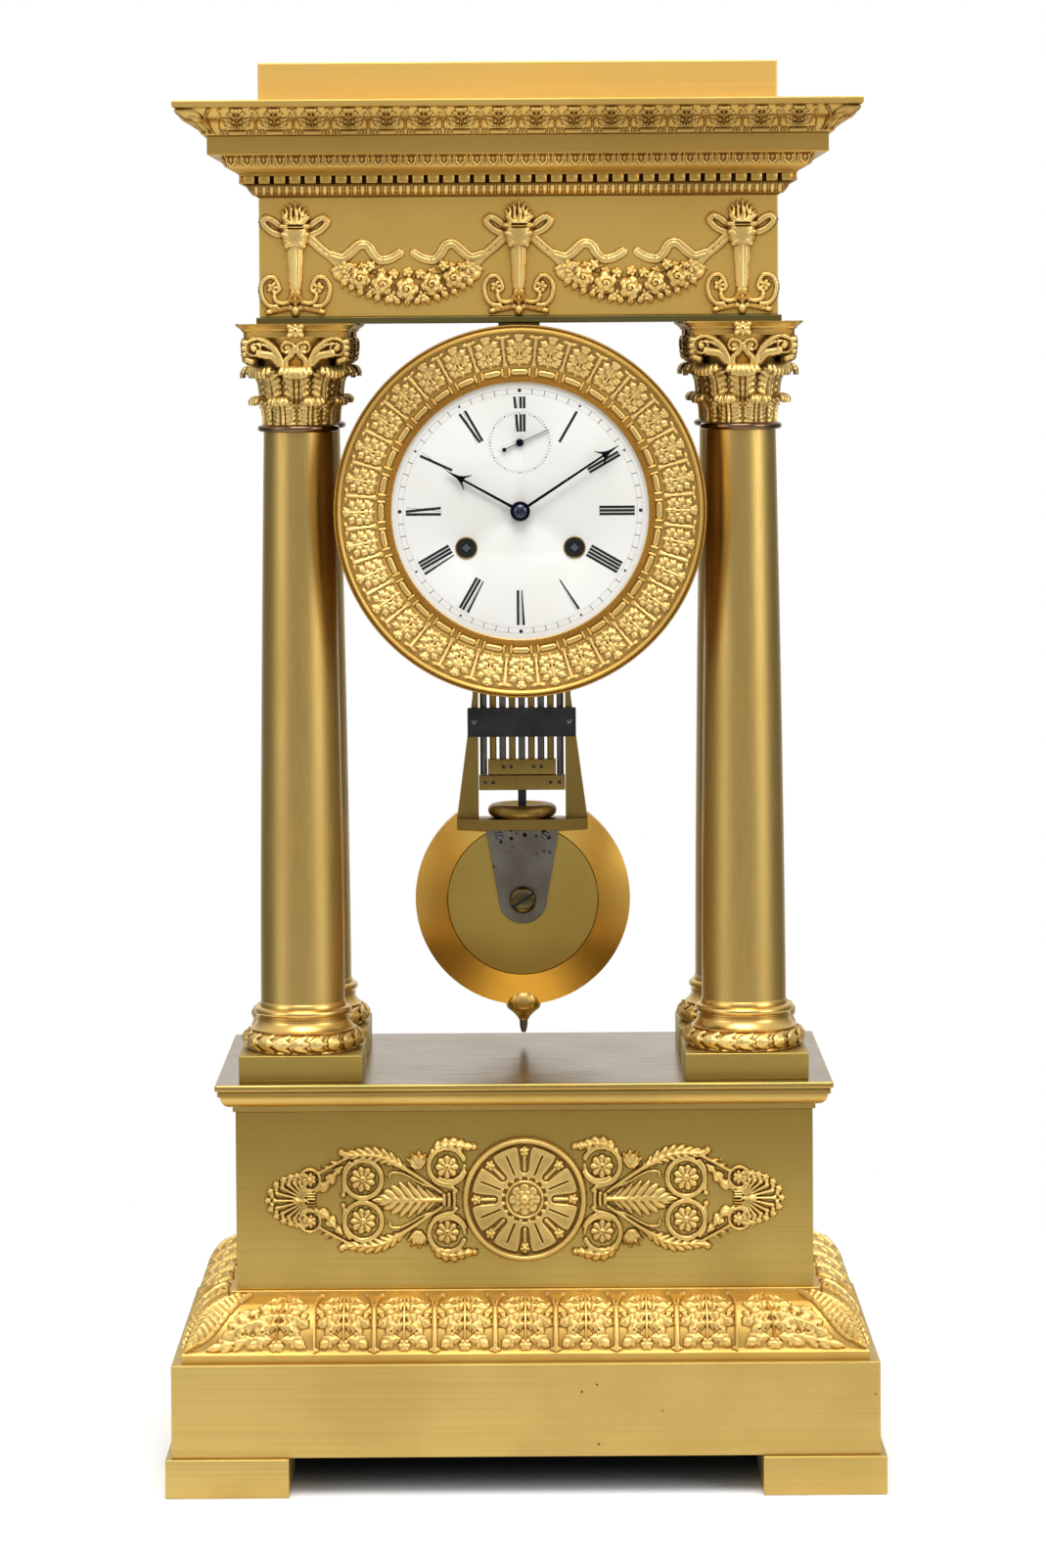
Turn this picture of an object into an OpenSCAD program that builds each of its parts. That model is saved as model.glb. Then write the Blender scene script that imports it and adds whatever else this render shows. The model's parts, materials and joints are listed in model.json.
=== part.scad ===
// Portico clock: a drum clock hung between four columns, with a compensated pendulum behind it.
// Millimetres. +Z up, the dial faces -Y, the origin is on the floor under the middle of the clock.

/* [Base] */
// Height of the corner feet
foot_h = 17.6; // [10:0.1:30]
// Width and depth of a corner foot
foot_w = 56; // [30:1:80]
// How far a foot stands proud of the base block
foot_proud = 2.75; // [1:0.25:5]
// Height of the plain base block
base_h = 42.4; // [25:0.1:60]
// Ledge of the base block outside the leaf plinth
base_ledge = 4.5; // [2:0.5:10]
// Height of the plain fillet under the leaves
plinth_fillet_h = 4; // [2:0.5:8]
// Height of the leaf curve
plinth_curve_h = 24.6; // [15:0.1:35]
// Projection of the leaf plinth beyond the pedestal
plinth_proj = 24; // [14:0.5:34]

/* [Pedestal] */
// Width of the pedestal box
pedestal_w = 264; // [240:1:300]
// Depth of the pedestal box, front to flat back
pedestal_d = 146; // [130:1:170]
// Height of the pedestal box
pedestal_h = 82.1; // [60:0.1:110]
// Height of the moulding under the top plate
pedestal_mould_h = 10.2; // [6:0.1:16]
// Projection of the top plate beyond the pedestal
plate_proj = 9; // [6:0.5:14]
// Thickness of the top plate
plate_h = 3.1; // [2:0.1:6]
// Radius of the panel medallion
medallion_r = 28.7; // [20:0.1:36]
// Height of a scroll mount
scroll_h = 58; // [40:1:70]
// Length of a scroll mount
scroll_len = 88; // [70:1:92]
// Thickness of the panel and frieze mounts
mount_t = 3; // [1.5:0.1:5]
// Wall of the hollow boxes, courses and shafts
shell_t = 2.5; // [1.5:0.1:3.5]

/* [Columns] */
// Distance between column axes across the front
col_span_x = 204; // [196:1:215]
// Distance between column axes, front to back
col_span_y = 78; // [70:1:85]
// Plate edge to the face of a front column plinth
col_front_margin = 9; // [4:0.5:12]
// Width of a column plinth
col_plinth_w = 56.6; // [50:0.1:62]
// Height of a column plinth
col_plinth_h = 12; // [8:0.5:18]
// Height of a moulded column base
col_base_h = 22; // [18:0.5:28]
// Radius of the lower torus of a column base
col_torus_r = 27.5; // [25:0.1:28]
// Shaft radius at the bottom
shaft_r0 = 19; // [17:0.1:20]
// Shaft radius at the top
shaft_r1 = 16; // [14:0.1:16.8]
// Shaft height with its collar ring
shaft_h = 266; // [255:1:300]
// Radius of the collar ring at the top of a shaft
collar_r = 18.3; // [17:0.1:20]
// Height of a leaf capital
capital_h = 46.4; // [40:0.1:52]
// Width of the abacus on a capital
abacus_w = 54.4; // [50:0.1:58]

/* [Entablature] */
// Overhang of the architrave beyond the column axes
architrave_over = 18; // [16:0.5:24]
// Thickness of the architrave plate
architrave_h = 2.9; // [2:0.1:5]
// Step from the architrave back to the frieze
frieze_inset = 1.5; // [0.5:0.1:3]
// Height of the frieze box
frieze_h = 54.9; // [45:0.1:65]
// Height of the egg course
egg_h = 5.7; // [4:0.1:8]
// Projection of the egg course
egg_proj = 5.25; // [3:0.05:7]
// Height of the dentil course
dentil_h = 4.5; // [3:0.1:7]
// Projection of the dentil course
dentil_proj = 8.5; // [7.2:0.1:11]
// Dentil pitch
dentil_pitch = 7; // [5:0.1:9]
// Width of the gap between dentils
dentil_gap = 1.9; // [1.2:0.1:3]
// Depth of the gap between dentils
dentil_cut = 3; // [2:0.1:4]
// Height of the tongue cavetto
cavetto_h = 8.4; // [6:0.1:12]
// Projection of the tongue cavetto
cavetto_proj = 16; // [12:0.5:19]
// Height of the corona
corona_h = 8.6; // [6:0.1:12]
// Projection of the corona
corona_proj = 22; // [20:0.5:27]
// Height of the leaf cyma
cyma_h = 10.6; // [8:0.1:14]
// Height of the top fillet
top_fillet_h = 4.7; // [3:0.1:7]
// Projection of the top fillet
top_fillet_proj = 36.75; // [30:0.25:40]
// Height of the attic block
attic_h = 18.8; // [12:0.1:26]

/* [Clock head] */
// Outer radius of the bezel
bezel_r = 85; // [82:0.5:86]
// Depth of the bezel
bezel_d = 10; // [8:0.5:13]
// Gap from the bezel to the architrave
bezel_gap = 1; // [0.5:0.1:3]
// Visible radius of the dial
dial_open_r = 58.7; // [56:0.1:60]
// Full radius of the dial plate
dial_r = 70; // [66:0.5:72]
// Thickness of the dial
dial_t = 2; // [1.5:0.1:2.5]
// Outer radius of the drum
drum_r = 78; // [77:0.5:79]
// Wall of the drum
drum_wall = 1.6; // [1:0.1:2]
// Depth of the drum
drum_d = 84; // [80:1:86]
// Thickness of the back cover
cover_t = 2; // [1:0.1:3]
// Width of the saddle block
saddle_w = 19; // [12:0.5:26]
// Length of the saddle block, front to back
saddle_len = 70; // [40:1:78]
// Outer radius of a winding eyelet
eyelet_r = 5; // [4.6:0.1:6]
// Radius of the hole in a winding eyelet
eyelet_hole_r = 4.4; // [4:0.1:4.5]

/* [Hands] */
// Length of the minute hand
minute_len = 54.2; // [46:0.1:57]
// Length of the hour hand
hour_len = 38.2; // [30:0.1:45]
// Length of the seconds hand
second_len = 14.4; // [10:0.1:16]
// Thickness of a hand
hand_t = 0.8; // [0.5:0.1:1]
// Radius of a hand's hub
hub_r = 4.5; // [4:0.1:6]
// Clockwise angle of the hour hand from twelve
hour_angle = 298.9; // [0:0.1:360]
// Clockwise angle of the minute hand from twelve
minute_angle = 56.6; // [0:0.1:360]
// Clockwise angle of the seconds hand from twelve
second_angle = 65.6; // [0:0.1:360]

/* [Movement] */
// Height of the seconds arbor above the dial centre
second_rise = 31.2; // [29:0.1:34]
// Sideways place of a winding arbor
wind_x = 24.7; // [24.5:0.1:28]
// Drop of a winding arbor below the dial centre
wind_drop = 16.8; // [15:0.1:20]
// Radius of a winding arbor
wind_r = 3; // [2:0.1:3.2]
// Width of a winding square
wind_square = 3; // [2:0.1:3.4]
// Height of the pendulum axis above the dial centre
anchor_rise = 58; // [54:0.5:62]
// Thickness of a movement plate
plate_t = 2.5; // [1.5:0.1:3]
// Space between the movement plates
plate_gap = 36; // [35:0.5:42]
// Radius of the back plate
back_plate_r = 64; // [62:0.5:65]
// Space between the dial and the front plate
motion_gap = 7; // [6.5:0.1:8]
// Radius of the barrel drums
barrel_r = 21.5; // [18:0.5:22]
// Length of the barrel drums
barrel_len = 20; // [15:0.5:20]
// Radius of the escape wheel
escape_r = 16; // [12:0.5:17]
// Depth of the escape wheel behind the front plate
escape_depth = 20; // [18:0.5:22]
// Radius of a wheel arbor
arbor_r = 1.2; // [0.8:0.1:1.4]
// Radial clearance of every running fit
run_fit = 0.05; // [0.02:0.01:0.08]

/* [Pendulum] */
// Gap from the finial's pin to the top plate
finial_clear = 5.1; // [4:0.1:12]
// Distance of the pendulum behind the back column axes
pendulum_behind = 7; // [5:0.5:10]
// Radius of the bob
bob_r = 51.5; // [44:0.5:54]
// Radius of the flat bob face
bob_face_r = 36; // [32:0.5:40]
// Thickness of the bob at its face
bob_t = 20; // [14:0.5:24]
// Thickness of the bob at its rim
bob_rim_t = 5; // [3:0.5:8]
// Frame plate above the bob centre
frame_rise = 33.4; // [31:0.1:36]
// Width of the frame plate
frame_w = 62.7; // [58:0.1:70]
// Thickness of the frame plate
frame_h = 5; // [3:0.5:7]
// Thickness of the side bars, front to back
bar_t = 8; // [5:0.5:10]
// Half the space between the side bars
bar_in = 20.9; // [20.8:0.1:23]
// Half the frame width where the taper ends
bar_out = 23.5; // [23.3:0.1:27]
// Height of the taper of the side bars
taper_h = 59; // [45:1:70]
// Drop of the rods' head block below the pendulum axis
head_drop = 32; // [28:0.5:36]
// Height of the rods' head block
head_h = 12; // [8:0.5:14]
// Number of compensating rods, steel and brass in turn
rod_n = 9; // [5:2:9]
// Distance between rods
rod_pitch = 4.6; // [4:0.1:4.7]
// Radius of a rod
rod_r = 1.65; // [1.2:0.05:1.8]
// Radius of the rating nut
nut_r = 16.5; // [12:0.5:19]
// Height of the rating nut
nut_h = 7.7; // [5:0.1:10]
// Radius of the rating rod
rating_r = 2; // [1.5:0.1:3]
// Clear height between the frame plate and the lower cross bar
rating_gap = 13.4; // [11:0.1:18]
// Height of a cross bar
cross_h = 7.4; // [5:0.1:9]
// Width of the lower cross bar
lower_bar_w = 41.3; // [40.6:0.1:41.6]
// Width of the upper cross bar
upper_bar_w = 32; // [31:0.1:33]
// Height of the dark cross band
band_h = 14; // [9:0.5:18]
// Radius of the finial ball under the bob
finial_r = 7.9; // [6:0.1:9]
// Drop of the finial's pin tip below the bob rim
finial_drop = 14; // [11:0.1:16]
// Radius of the bob screw's head
bob_screw_r = 6.4; // [4:0.1:8]
// Thickness of the bob bracket
bracket_t = 2; // [1.5:0.1:3]

/* [Hidden] */
$fn = 64;

// Heights of the stacked courses
base_z = foot_h;
plinth_z = base_z + base_h;
pedestal_z = plinth_z + plinth_fillet_h + plinth_curve_h;
mould_z = pedestal_z + pedestal_h;
plate_z = mould_z + pedestal_mould_h;
column_z = plate_z + plate_h;
col_base_z = column_z + col_plinth_h;
shaft_z = col_base_z + col_base_h;
capital_z = shaft_z + shaft_h;
architrave_z = capital_z + capital_h;
frieze_z = architrave_z + architrave_h;
egg_z = frieze_z + frieze_h;
dentil_z = egg_z + egg_h;
cavetto_z = dentil_z + dentil_h;
corona_z = cavetto_z + cavetto_h;
cyma_z = corona_z + corona_h;
top_fillet_z = cyma_z + cyma_h;
attic_z = top_fillet_z + top_fillet_h;

// Plan of the base: the back is flat, and the whole depth is centred on the origin
foot_reach = plinth_proj + base_ledge + foot_proud;
back_y = (pedestal_d + foot_reach - foot_proud) / 2;
pedestal_y = back_y - pedestal_d;
base_y = pedestal_y - plinth_proj - base_ledge;
base_w = pedestal_w + 2 * (plinth_proj + base_ledge);

// Plan of the columns and of what they carry
col_x = col_span_x / 2;
col_front_y = pedestal_y - plate_proj + col_front_margin + col_plinth_w / 2;
col_back_y = col_front_y + col_span_y;
architrave_w = col_span_x + 2 * architrave_over;
architrave_y = col_front_y - architrave_over;
architrave_back = col_back_y + architrave_over;
frieze_w = architrave_w - 2 * frieze_inset;
frieze_y = architrave_y + frieze_inset;
frieze_back = architrave_back - frieze_inset;

// Layers of the clock head, front to back
dial_z = architrave_z - bezel_gap - bezel_r;
bezel_back = col_front_y - shaft_r0 - 0.35;
dial_y = bezel_back - 3.2;
dial_back = dial_y + dial_t;
front_plate_y = dial_back + motion_gap;
inside_y = front_plate_y + plate_t;
back_plate_y = inside_y + plate_gap;
drum_back = bezel_back + drum_d;
cover_back = drum_back + cover_t;
drum_in = drum_r - drum_wall;

// Hands stand in front of the dial, seconds lowest
second_y = dial_y - 0.5 - hand_t;
hour_y = second_y - 0.5 - hand_t;
minute_y = hour_y - 0.7 - hand_t;

// Pipes on the centre arbor
cannon_r = arbor_r + run_fit + 0.75;
pipe_bore = cannon_r + run_fit;
pipe_r = pipe_bore + 1.1;
dial_hole_r = pipe_r + 0.4;

// Motion work: twelve to one, on one centre distance
cannon_teeth = 12;
minute_teeth = 36;
minute_pinion_teeth = 10;
hour_teeth = 40;
motion_distance = 12;
motion_module = 2 * motion_distance / (cannon_teeth + minute_teeth);
hour_module = 2 * motion_distance / (minute_pinion_teeth + hour_teeth);

// Going train: sixty to one from the centre arbor to the seconds arbor
centre_teeth = 80;
third_pinion_teeth = 10;
third_teeth = 75;
escape_pinion_teeth = 10;
great_teeth = 96;
centre_pinion_teeth = 12;
centre_to_third = 22.5;
third_to_escape = 19.125;
centre_module = 2 * centre_to_third / (centre_teeth + third_pinion_teeth);
third_module = 2 * third_to_escape / (third_teeth + escape_pinion_teeth);
third_rise = (centre_to_third ^ 2 - third_to_escape ^ 2 + second_rise ^ 2) / (2 * second_rise);
third_x = -sqrt(centre_to_third ^ 2 - third_rise ^ 2);
wind_distance = norm([wind_x, wind_drop]);
great_module = 2 * wind_distance / (great_teeth + centre_pinion_teeth);
escape_teeth = 60;

// Layers of the train, measured from the inside of the front plate
wheel_t = 1.5;
centre_wheel_y = inside_y + 1;
third_wheel_y = centre_wheel_y + wheel_t + 1.1;
barrel_y = third_wheel_y + wheel_t + 1;
great_y = barrel_y + barrel_len;
escape_y = inside_y + escape_depth;
minute_wheel_y = front_plate_y - 0.8 - wheel_t;
hour_wheel_y = minute_wheel_y - 1.1 - wheel_t;

// Pendulum places
pend_y = col_back_y + pendulum_behind;
axis_z = dial_z + anchor_rise;
bob_z = column_z + finial_clear + finial_drop + bob_r;
frame_z = bob_z + frame_rise;
frame_top = frame_z + frame_h;
lower_bar_z = frame_top + rating_gap;
upper_bar_z = lower_bar_z + cross_h;
rods_z = upper_bar_z + cross_h;
head_z = axis_z - head_drop;
stem_top = axis_z - 8;
band_z = rods_z + 11;
slot_z = dial_z - 3;
slot_h = 10;
crutch_y = cover_back + 4;
crutch_t = 2;
crutch_pin_r = 1.5;
bob_front = pend_y - bob_t / 2;

// Colours
GILT = [0.86, 0.69, 0.36];
BRASS = [0.70, 0.56, 0.29];
AGED = [0.42, 0.39, 0.24];
STEEL = [0.45, 0.43, 0.40];
DARK = [0.16, 0.16, 0.17];
BLUED = [0.06, 0.07, 0.12];
ENAMEL = [0.96, 0.95, 0.92];

// Shared shapes

// A plain block, centred across the width, from its front face to its back face
module block(w, front, back, z, h) {
    translate([-w / 2, front, z]) cube([w, back - front, h]);
}

// A closed sheet-metal box with an empty inside
module hollow_block(w, front, back, z, h) {
    difference() {
        block(w, front, back, z, h);
        block(w - 2 * shell_t, front + shell_t, back - shell_t, z + shell_t, h - 2 * shell_t);
    }
}

// A moulded course with an empty inside behind its walls
module hollow_course(w, front, back, z, outline) {
    h = outline[len(outline) - 1][1];
    difference() {
        moulded(w, front, back, z, outline);
        block(w - 2 * shell_t, front + shell_t, back - shell_t, z + shell_t, h - 2 * shell_t);
    }
}

// A course moulded on the front and both sides, mitred at the corners and flat at the back.
// Each point of the outline is [projection, height].
module moulded(w, front, back, z, outline) {
    sides = concat(
        [for (p = outline) [w / 2 + p[0], z + p[1]]],
        [for (i = [len(outline) - 1:-1:0]) [-w / 2 - outline[i][0], z + outline[i][1]]]
    );
    n = len(outline) - 1;
    face = concat(
        [for (p = outline) [front - p[0], z + p[1]]],
        [[back, z + outline[n][1]], [back, z + outline[0][1]]]
    );
    reach = w + 2 * max([for (p = outline) p[0]]) + 2;
    intersection() {
        translate([0, back, 0]) rotate([90, 0, 0]) linear_extrude(back - front + reach) polygon(sides);
        translate([-reach / 2, 0, 0]) rotate([90, 0, 90]) linear_extrude(reach) polygon(face);
    }
}

// Points along a quarter ellipse from [x0, z0] to [x1, z1]; convex bulges away from the wall
function quarter(x0, z0, x1, z1, convex, n = 8) = [
    for (i = [0:n]) let (a = 90 * i / n)
        convex ? [x1 + (x0 - x1) * cos(a), z0 + (z1 - z0) * sin(a)]
               : [x0 + (x1 - x0) * (1 - cos(a)), z0 + (z1 - z0) * sin(a)]
];

// Flat outlines drawn as seen from the front, each from one depth to another
module upright(y0, y1) {
    for (i = [0:$children - 1])
        translate([0, y1, 0]) rotate([90, 0, 0]) linear_extrude(y1 - y0) children(i);
}

// A round bar along the depth, placed from the dial centre
module bar_y(x, z, y0, y1, r) {
    translate([x, y0, dial_z + z]) rotate([-90, 0, 0]) cylinder(h = y1 - y0, r = r);
}

// A turned solid whose axis runs forward from a point; its outline is [radius, height forward]
module turned_forward(x, y, z) {
    translate([x, y, z]) rotate([90, 0, 0]) rotate_extrude() children();
}

// Toothed outline: narrow teeth with play, one tooth at the phase angle
function tooth_points(n, m, phase) = [
    for (i = [0:n - 1]) for (k = [[-0.21, -1.15], [-0.1, 0.75], [0.1, 0.75], [0.21, -1.15]])
        let (a = phase + 360 * (i + k[0]) / n, r = m * n / 2 + m * k[1]) [r * cos(a), r * sin(a)]
];

// A toothed wheel about an axis placed from the dial centre
module gear(x, z, y, t, n, m, phase) {
    translate([x, 0, dial_z + z]) upright(y, y + t) polygon(tooth_points(n, m, phase));
}

// Copies at the four columns
module at_columns() {
    for (x = [-col_x, col_x], y = [col_front_y, col_back_y]) translate([x, y, 0]) children();
}

// Base

module corner_feet() {
    w = base_w / 2 + foot_proud;
    color(GILT) for (sx = [-1, 1], y = [base_y - foot_proud, back_y + foot_proud - foot_w])
        translate([sx * (w - foot_w / 2) - foot_w / 2, y, 0]) cube([foot_w, foot_w, foot_h]);
}

module base_block() {
    color(GILT) hollow_block(base_w, base_y, back_y, base_z, base_h);
}

module leaf_plinth() {
    outline = concat(
        [[plinth_proj, 0], [plinth_proj, plinth_fillet_h]],
        quarter(plinth_proj - 1.5, plinth_fillet_h, 0, plinth_fillet_h + plinth_curve_h, true)
    );
    color(GILT) hollow_course(pedestal_w, pedestal_y, back_y, plinth_z, outline);
}

module pedestal_box() {
    color(BRASS) hollow_block(pedestal_w, pedestal_y, back_y, pedestal_z, pedestal_h);
}

module pedestal_moulding() {
    fillet = 1.8;
    outline = concat(
        [[1.2, 0], [1.2, fillet]],
        quarter(1.8, fillet, plate_proj - 1.2, pedestal_mould_h, false)
    );
    color(GILT) hollow_course(pedestal_w, pedestal_y, back_y, mould_z, outline);
}

module pedestal_top_plate() {
    w = pedestal_w + 2 * plate_proj;
    color(BRASS) block(w, pedestal_y - plate_proj, back_y, plate_z, plate_h);
}

module medallion_mount() {
    r = medallion_r;
    color(GILT) turned_forward(0, pedestal_y, pedestal_z + pedestal_h / 2)
        polygon([[0, 0], [r, 0], [r, mount_t], [r - 1.6, mount_t + 1], [r - 3.2, mount_t],
                 [r - 5, mount_t - 1], [r * 0.4, mount_t], [r * 0.3, mount_t + 1], [0, mount_t + 2]]);
}

// One scroll mount: a leaf along the middle, scrolls above and below, a fan at the outer end
module scroll_mount(side) {
    start_x = medallion_r + 1.5;
    scroll_r = scroll_h / 2 - 19.6;
    fan_x = scroll_len * 0.76;
    front = pedestal_y - mount_t;
    color(GILT) mirror([side < 0 ? 1 : 0, 0, 0]) translate([start_x, 0, pedestal_z + pedestal_h / 2]) {
        upright(front, pedestal_y) translate([0, -4.5]) square([scroll_len * 0.8, 9]);
        upright(front, pedestal_y) translate([0, -scroll_h * 0.33]) square([6, scroll_h * 0.66]);
        for (s = [-1, 1]) upright(front, pedestal_y) {
            translate([5, s * (scroll_h / 2 - scroll_r - 2)]) circle(r = scroll_r);
            translate([scroll_len * 0.5, s * (scroll_h / 2 - 19)]) circle(r = scroll_r - 1.3);
            translate([scroll_len * 0.26, s * (scroll_h / 2 - 8)]) circle(r = 7);
            translate([scroll_len * 0.72, s * 8]) circle(r = 4.2);
            translate([scroll_len * 0.2, s * 12]) rotate(-s * 12) translate([-16, -5]) square([36, 10]);
        }
        upright(front, pedestal_y) intersection() {
            translate([fan_x, 0]) circle(r = scroll_len * 0.24);
            translate([fan_x - 6, -scroll_h * 0.21]) square([scroll_len * 0.3, scroll_h * 0.42]);
        }
    }
}

module scroll_mount_left() { scroll_mount(-1); }
module scroll_mount_right() { scroll_mount(1); }

// Columns

module column_plinths() {
    w = col_plinth_w;
    color(GILT) at_columns() translate([-w / 2, -w / 2, column_z]) cube([w, w, col_plinth_h]);
}

module column_bases() {
    h = col_base_h;
    torus_h = 9;
    neck = shaft_r0 + 0.5;
    color(GILT) at_columns() translate([0, 0, col_base_z]) rotate_extrude()
        polygon(concat(
            [[0, 0], [col_torus_r - 1.5, 0], [col_torus_r, 3], [col_torus_r, 6], [col_torus_r - 1.5, torus_h],
             [neck + 3, torus_h + 0.6], [neck, 12.5], [neck + 1, 15.5],
             [neck + 2.5, 16], [neck + 3, 17.7], [neck + 2.5, 19.5]],
            [[shaft_r0 + 1, h - 1.5], [shaft_r0, h], [0, h]]));
}

module column_shafts() {
    collar_h = 3;
    top = shaft_h - collar_h;
    color(BRASS) at_columns() translate([0, 0, shaft_z]) difference() {
        rotate_extrude() polygon(concat(
            [[0, 0]],
            [for (i = [0:8]) let (t = i / 8) [shaft_r0 - (shaft_r0 - shaft_r1) * t ^ 1.5, top * t]],
            [[collar_r - 0.8, top], [collar_r, top + collar_h / 2], [collar_r - 0.8, shaft_h], [0, shaft_h]]));
        translate([0, 0, shell_t]) cylinder(h = shaft_h - 2 * shell_t, r = shaft_r1 - shell_t);
    }
}

module capitals() {
    abacus_h = 6.4;
    lap = 0.6;
    bell = capital_h - abacus_h;
    half = abacus_w / 2;
    sweep_r = 48;
    hollow = 5;
    color(GILT) at_columns() translate([0, 0, capital_z]) {
        rotate_extrude() polygon([[0, 0], [17, 0], [18, 5], [22.5, 9], [22, 11.5], [18.5, 13], [20, 18],
            [half - 1, 21], [half - 1.4, 24.5], [20, 26], [20, bell - 8],
            [half - 5, bell - 1.5], [half - 9, bell + 1.5], [0, bell + 1.5]]);
        intersection() {
            difference() {
                translate([-half, -half, bell - lap]) cube([abacus_w, abacus_w, abacus_h + lap]);
                for (a = [0:90:270]) rotate(a) translate([half + sweep_r - hollow, 0, bell - 1])
                    cylinder(h = abacus_h + 2, r = sweep_r);
            }
            rotate(45) translate([-half * 1.3, -half * 1.3, bell - 1])
                cube([half * 2.6, half * 2.6, abacus_h + 2]);
        }
        for (a = [45:90:315]) rotate(a) translate([half - 1, 0, bell - 3.5]) rotate([90, 0, 0])
            cylinder(h = 7, r = 5, center = true);
        for (a = [0:90:270]) rotate(a) translate([half - hollow - 2, 0, bell + abacus_h / 2]) rotate([0, 90, 0])
            cylinder(h = 4.5, r = abacus_h * 0.42);
    }
}

// Entablature

module architrave_plate() {
    color(AGED) block(architrave_w, architrave_y, architrave_back, architrave_z, architrave_h);
}

module frieze_box() {
    color(GILT) hollow_block(frieze_w, frieze_y, frieze_back, frieze_z, frieze_h);
}

// The front half of a turned mount, lying on the frieze
module torch_mounts() {
    h = frieze_h - 6;
    color(GILT) for (x = [-col_x, 0, col_x]) translate([x, frieze_y, frieze_z + 3]) intersection() {
        rotate_extrude() polygon([[0, 0], [2, 3], [3.6, h * 0.16], [2.2, h * 0.2], [3.6, h * 0.62],
            [6, h * 0.66], [5.4, h * 0.74], [6.4, h * 0.8], [4.5, h * 0.9], [0, h]]);
        translate([-10, -10, 0]) cube([20, 10, h]);
    }
}

module garland_mounts() {
    roses = 7;
    span = col_x - 34;
    drop = 20;
    rose_r = 6.2;
    top = frieze_z + frieze_h * 0.55;
    color(GILT) for (side = [-1, 1]) intersection() {
        for (i = [0:roses - 1]) let (t = i / (roses - 1) * 2 - 1)
            translate([side * (col_x / 2) + t * span / 2, frieze_y, top - drop * (1 - t ^ 2)])
                scale(0.75 + 0.25 * (1 - t ^ 2)) sphere(r = rose_r * 1.15);
        block(col_span_x, frieze_y - rose_r * 1.2, frieze_y, frieze_z + 1, frieze_h - 2);
    }
}

module egg_course() {
    color(GILT) moulded(frieze_w, frieze_y, frieze_back, egg_z, quarter(0.5, 0, egg_proj, egg_h, false));
}

module dentil_course() {
    w = frieze_w + 2 * dentil_proj;
    front = frieze_y - dentil_proj;
    pitch_n = floor((w - dentil_pitch) / dentil_pitch / 2);
    side_n = floor((frieze_back - front - dentil_pitch) / dentil_pitch);
    tooth_h = dentil_h - 0.8;
    color(GILT) difference() {
        block(w, front, frieze_back, dentil_z, dentil_h);
        for (i = [-pitch_n:pitch_n - 1])
            translate([(i + 0.5) * dentil_pitch - dentil_gap / 2, front - 1, dentil_z - 1])
                cube([dentil_gap, dentil_cut + 1, tooth_h + 1]);
        for (s = [-1, 1], i = [1:side_n])
            translate([s * w / 2 - dentil_cut, front + i * dentil_pitch - dentil_gap / 2, dentil_z - 1])
                cube([2 * dentil_cut, dentil_gap, tooth_h + 1]);
    }
}

module corona_course() {
    outline = concat(
        quarter(dentil_proj, 0, cavetto_proj, cavetto_h - 0.5, false),
        [[corona_proj - 1, cavetto_h - 0.5], [corona_proj, cavetto_h + 0.5],
         [corona_proj, cavetto_h + corona_h]]);
    color(GILT) hollow_course(frieze_w, frieze_y, frieze_back, cavetto_z, outline);
}

module cyma_course() {
    mid = (corona_proj + top_fillet_proj) / 2;
    outline = concat(
        quarter(corona_proj + 0.8, 0, mid, cyma_h / 2, false, 5),
        quarter(mid, cyma_h / 2, top_fillet_proj - 1, cyma_h, true, 5),
        [[top_fillet_proj, cyma_h], [top_fillet_proj, cyma_h + top_fillet_h]]);
    color(GILT) hollow_course(frieze_w, frieze_y, frieze_back, cyma_z, outline);
}

module attic_block() {
    color(GILT) hollow_block(frieze_w, frieze_y, frieze_back, attic_z, attic_h);
}

// Clock head

module drum_case() {
    ledge_r = 67;
    color(BRASS) {
        turned_forward(0, drum_back, dial_z)
            translate([drum_in, 0]) square([drum_wall, drum_d]);
        turned_forward(0, inside_y + 2, dial_z)
            translate([ledge_r, 0]) square([drum_in - ledge_r + 0.5, 2]);
    }
}

module saddle_block() {
    front = bezel_back + 4;
    color(AGED) difference() {
        block(saddle_w, front, front + saddle_len, dial_z + drum_r - 4, architrave_z - dial_z - drum_r + 4);
        bar_y(0, 0, front - 1, front + saddle_len + 1, drum_r);
    }
}

module bezel() {
    rebate = bezel_back - dial_y;
    rim_w = 4.2;
    color(GILT) turned_forward(0, bezel_back, dial_z)
        polygon([[bezel_r, 0], [bezel_r, bezel_d - 1.2], [bezel_r - rim_w / 2, bezel_d],
            [bezel_r - rim_w, bezel_d - 1.2], [bezel_r - rim_w - 0.5, bezel_d - 2.2],
            [dial_open_r + 7, rebate + 3.4], [dial_open_r + 5, rebate + 4], [dial_open_r + 3, rebate + 3.2],
            [dial_open_r, rebate + 1.6], [dial_open_r, rebate],
            [dial_r + 0.3, rebate], [dial_r + 0.3, 0]]);
}

module dial() {
    foot_r = 1.5;
    foot_place = 50;
    color(ENAMEL) {
        difference() {
            bar_y(0, 0, dial_y, dial_back, dial_r);
            bar_y(0, 0, dial_y - 1, dial_back + 1, dial_hole_r);
            bar_y(0, second_rise, dial_y - 1, dial_back + 1, arbor_r + 0.4);
            for (s = [-1, 1]) bar_y(s * wind_x, -wind_drop, dial_y - 1, dial_back + 1, eyelet_r);
        }
        for (a = [40, 160, 280]) bar_y(foot_place * cos(a), foot_place * sin(a), dial_back, front_plate_y, foot_r);
    }
}

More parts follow.
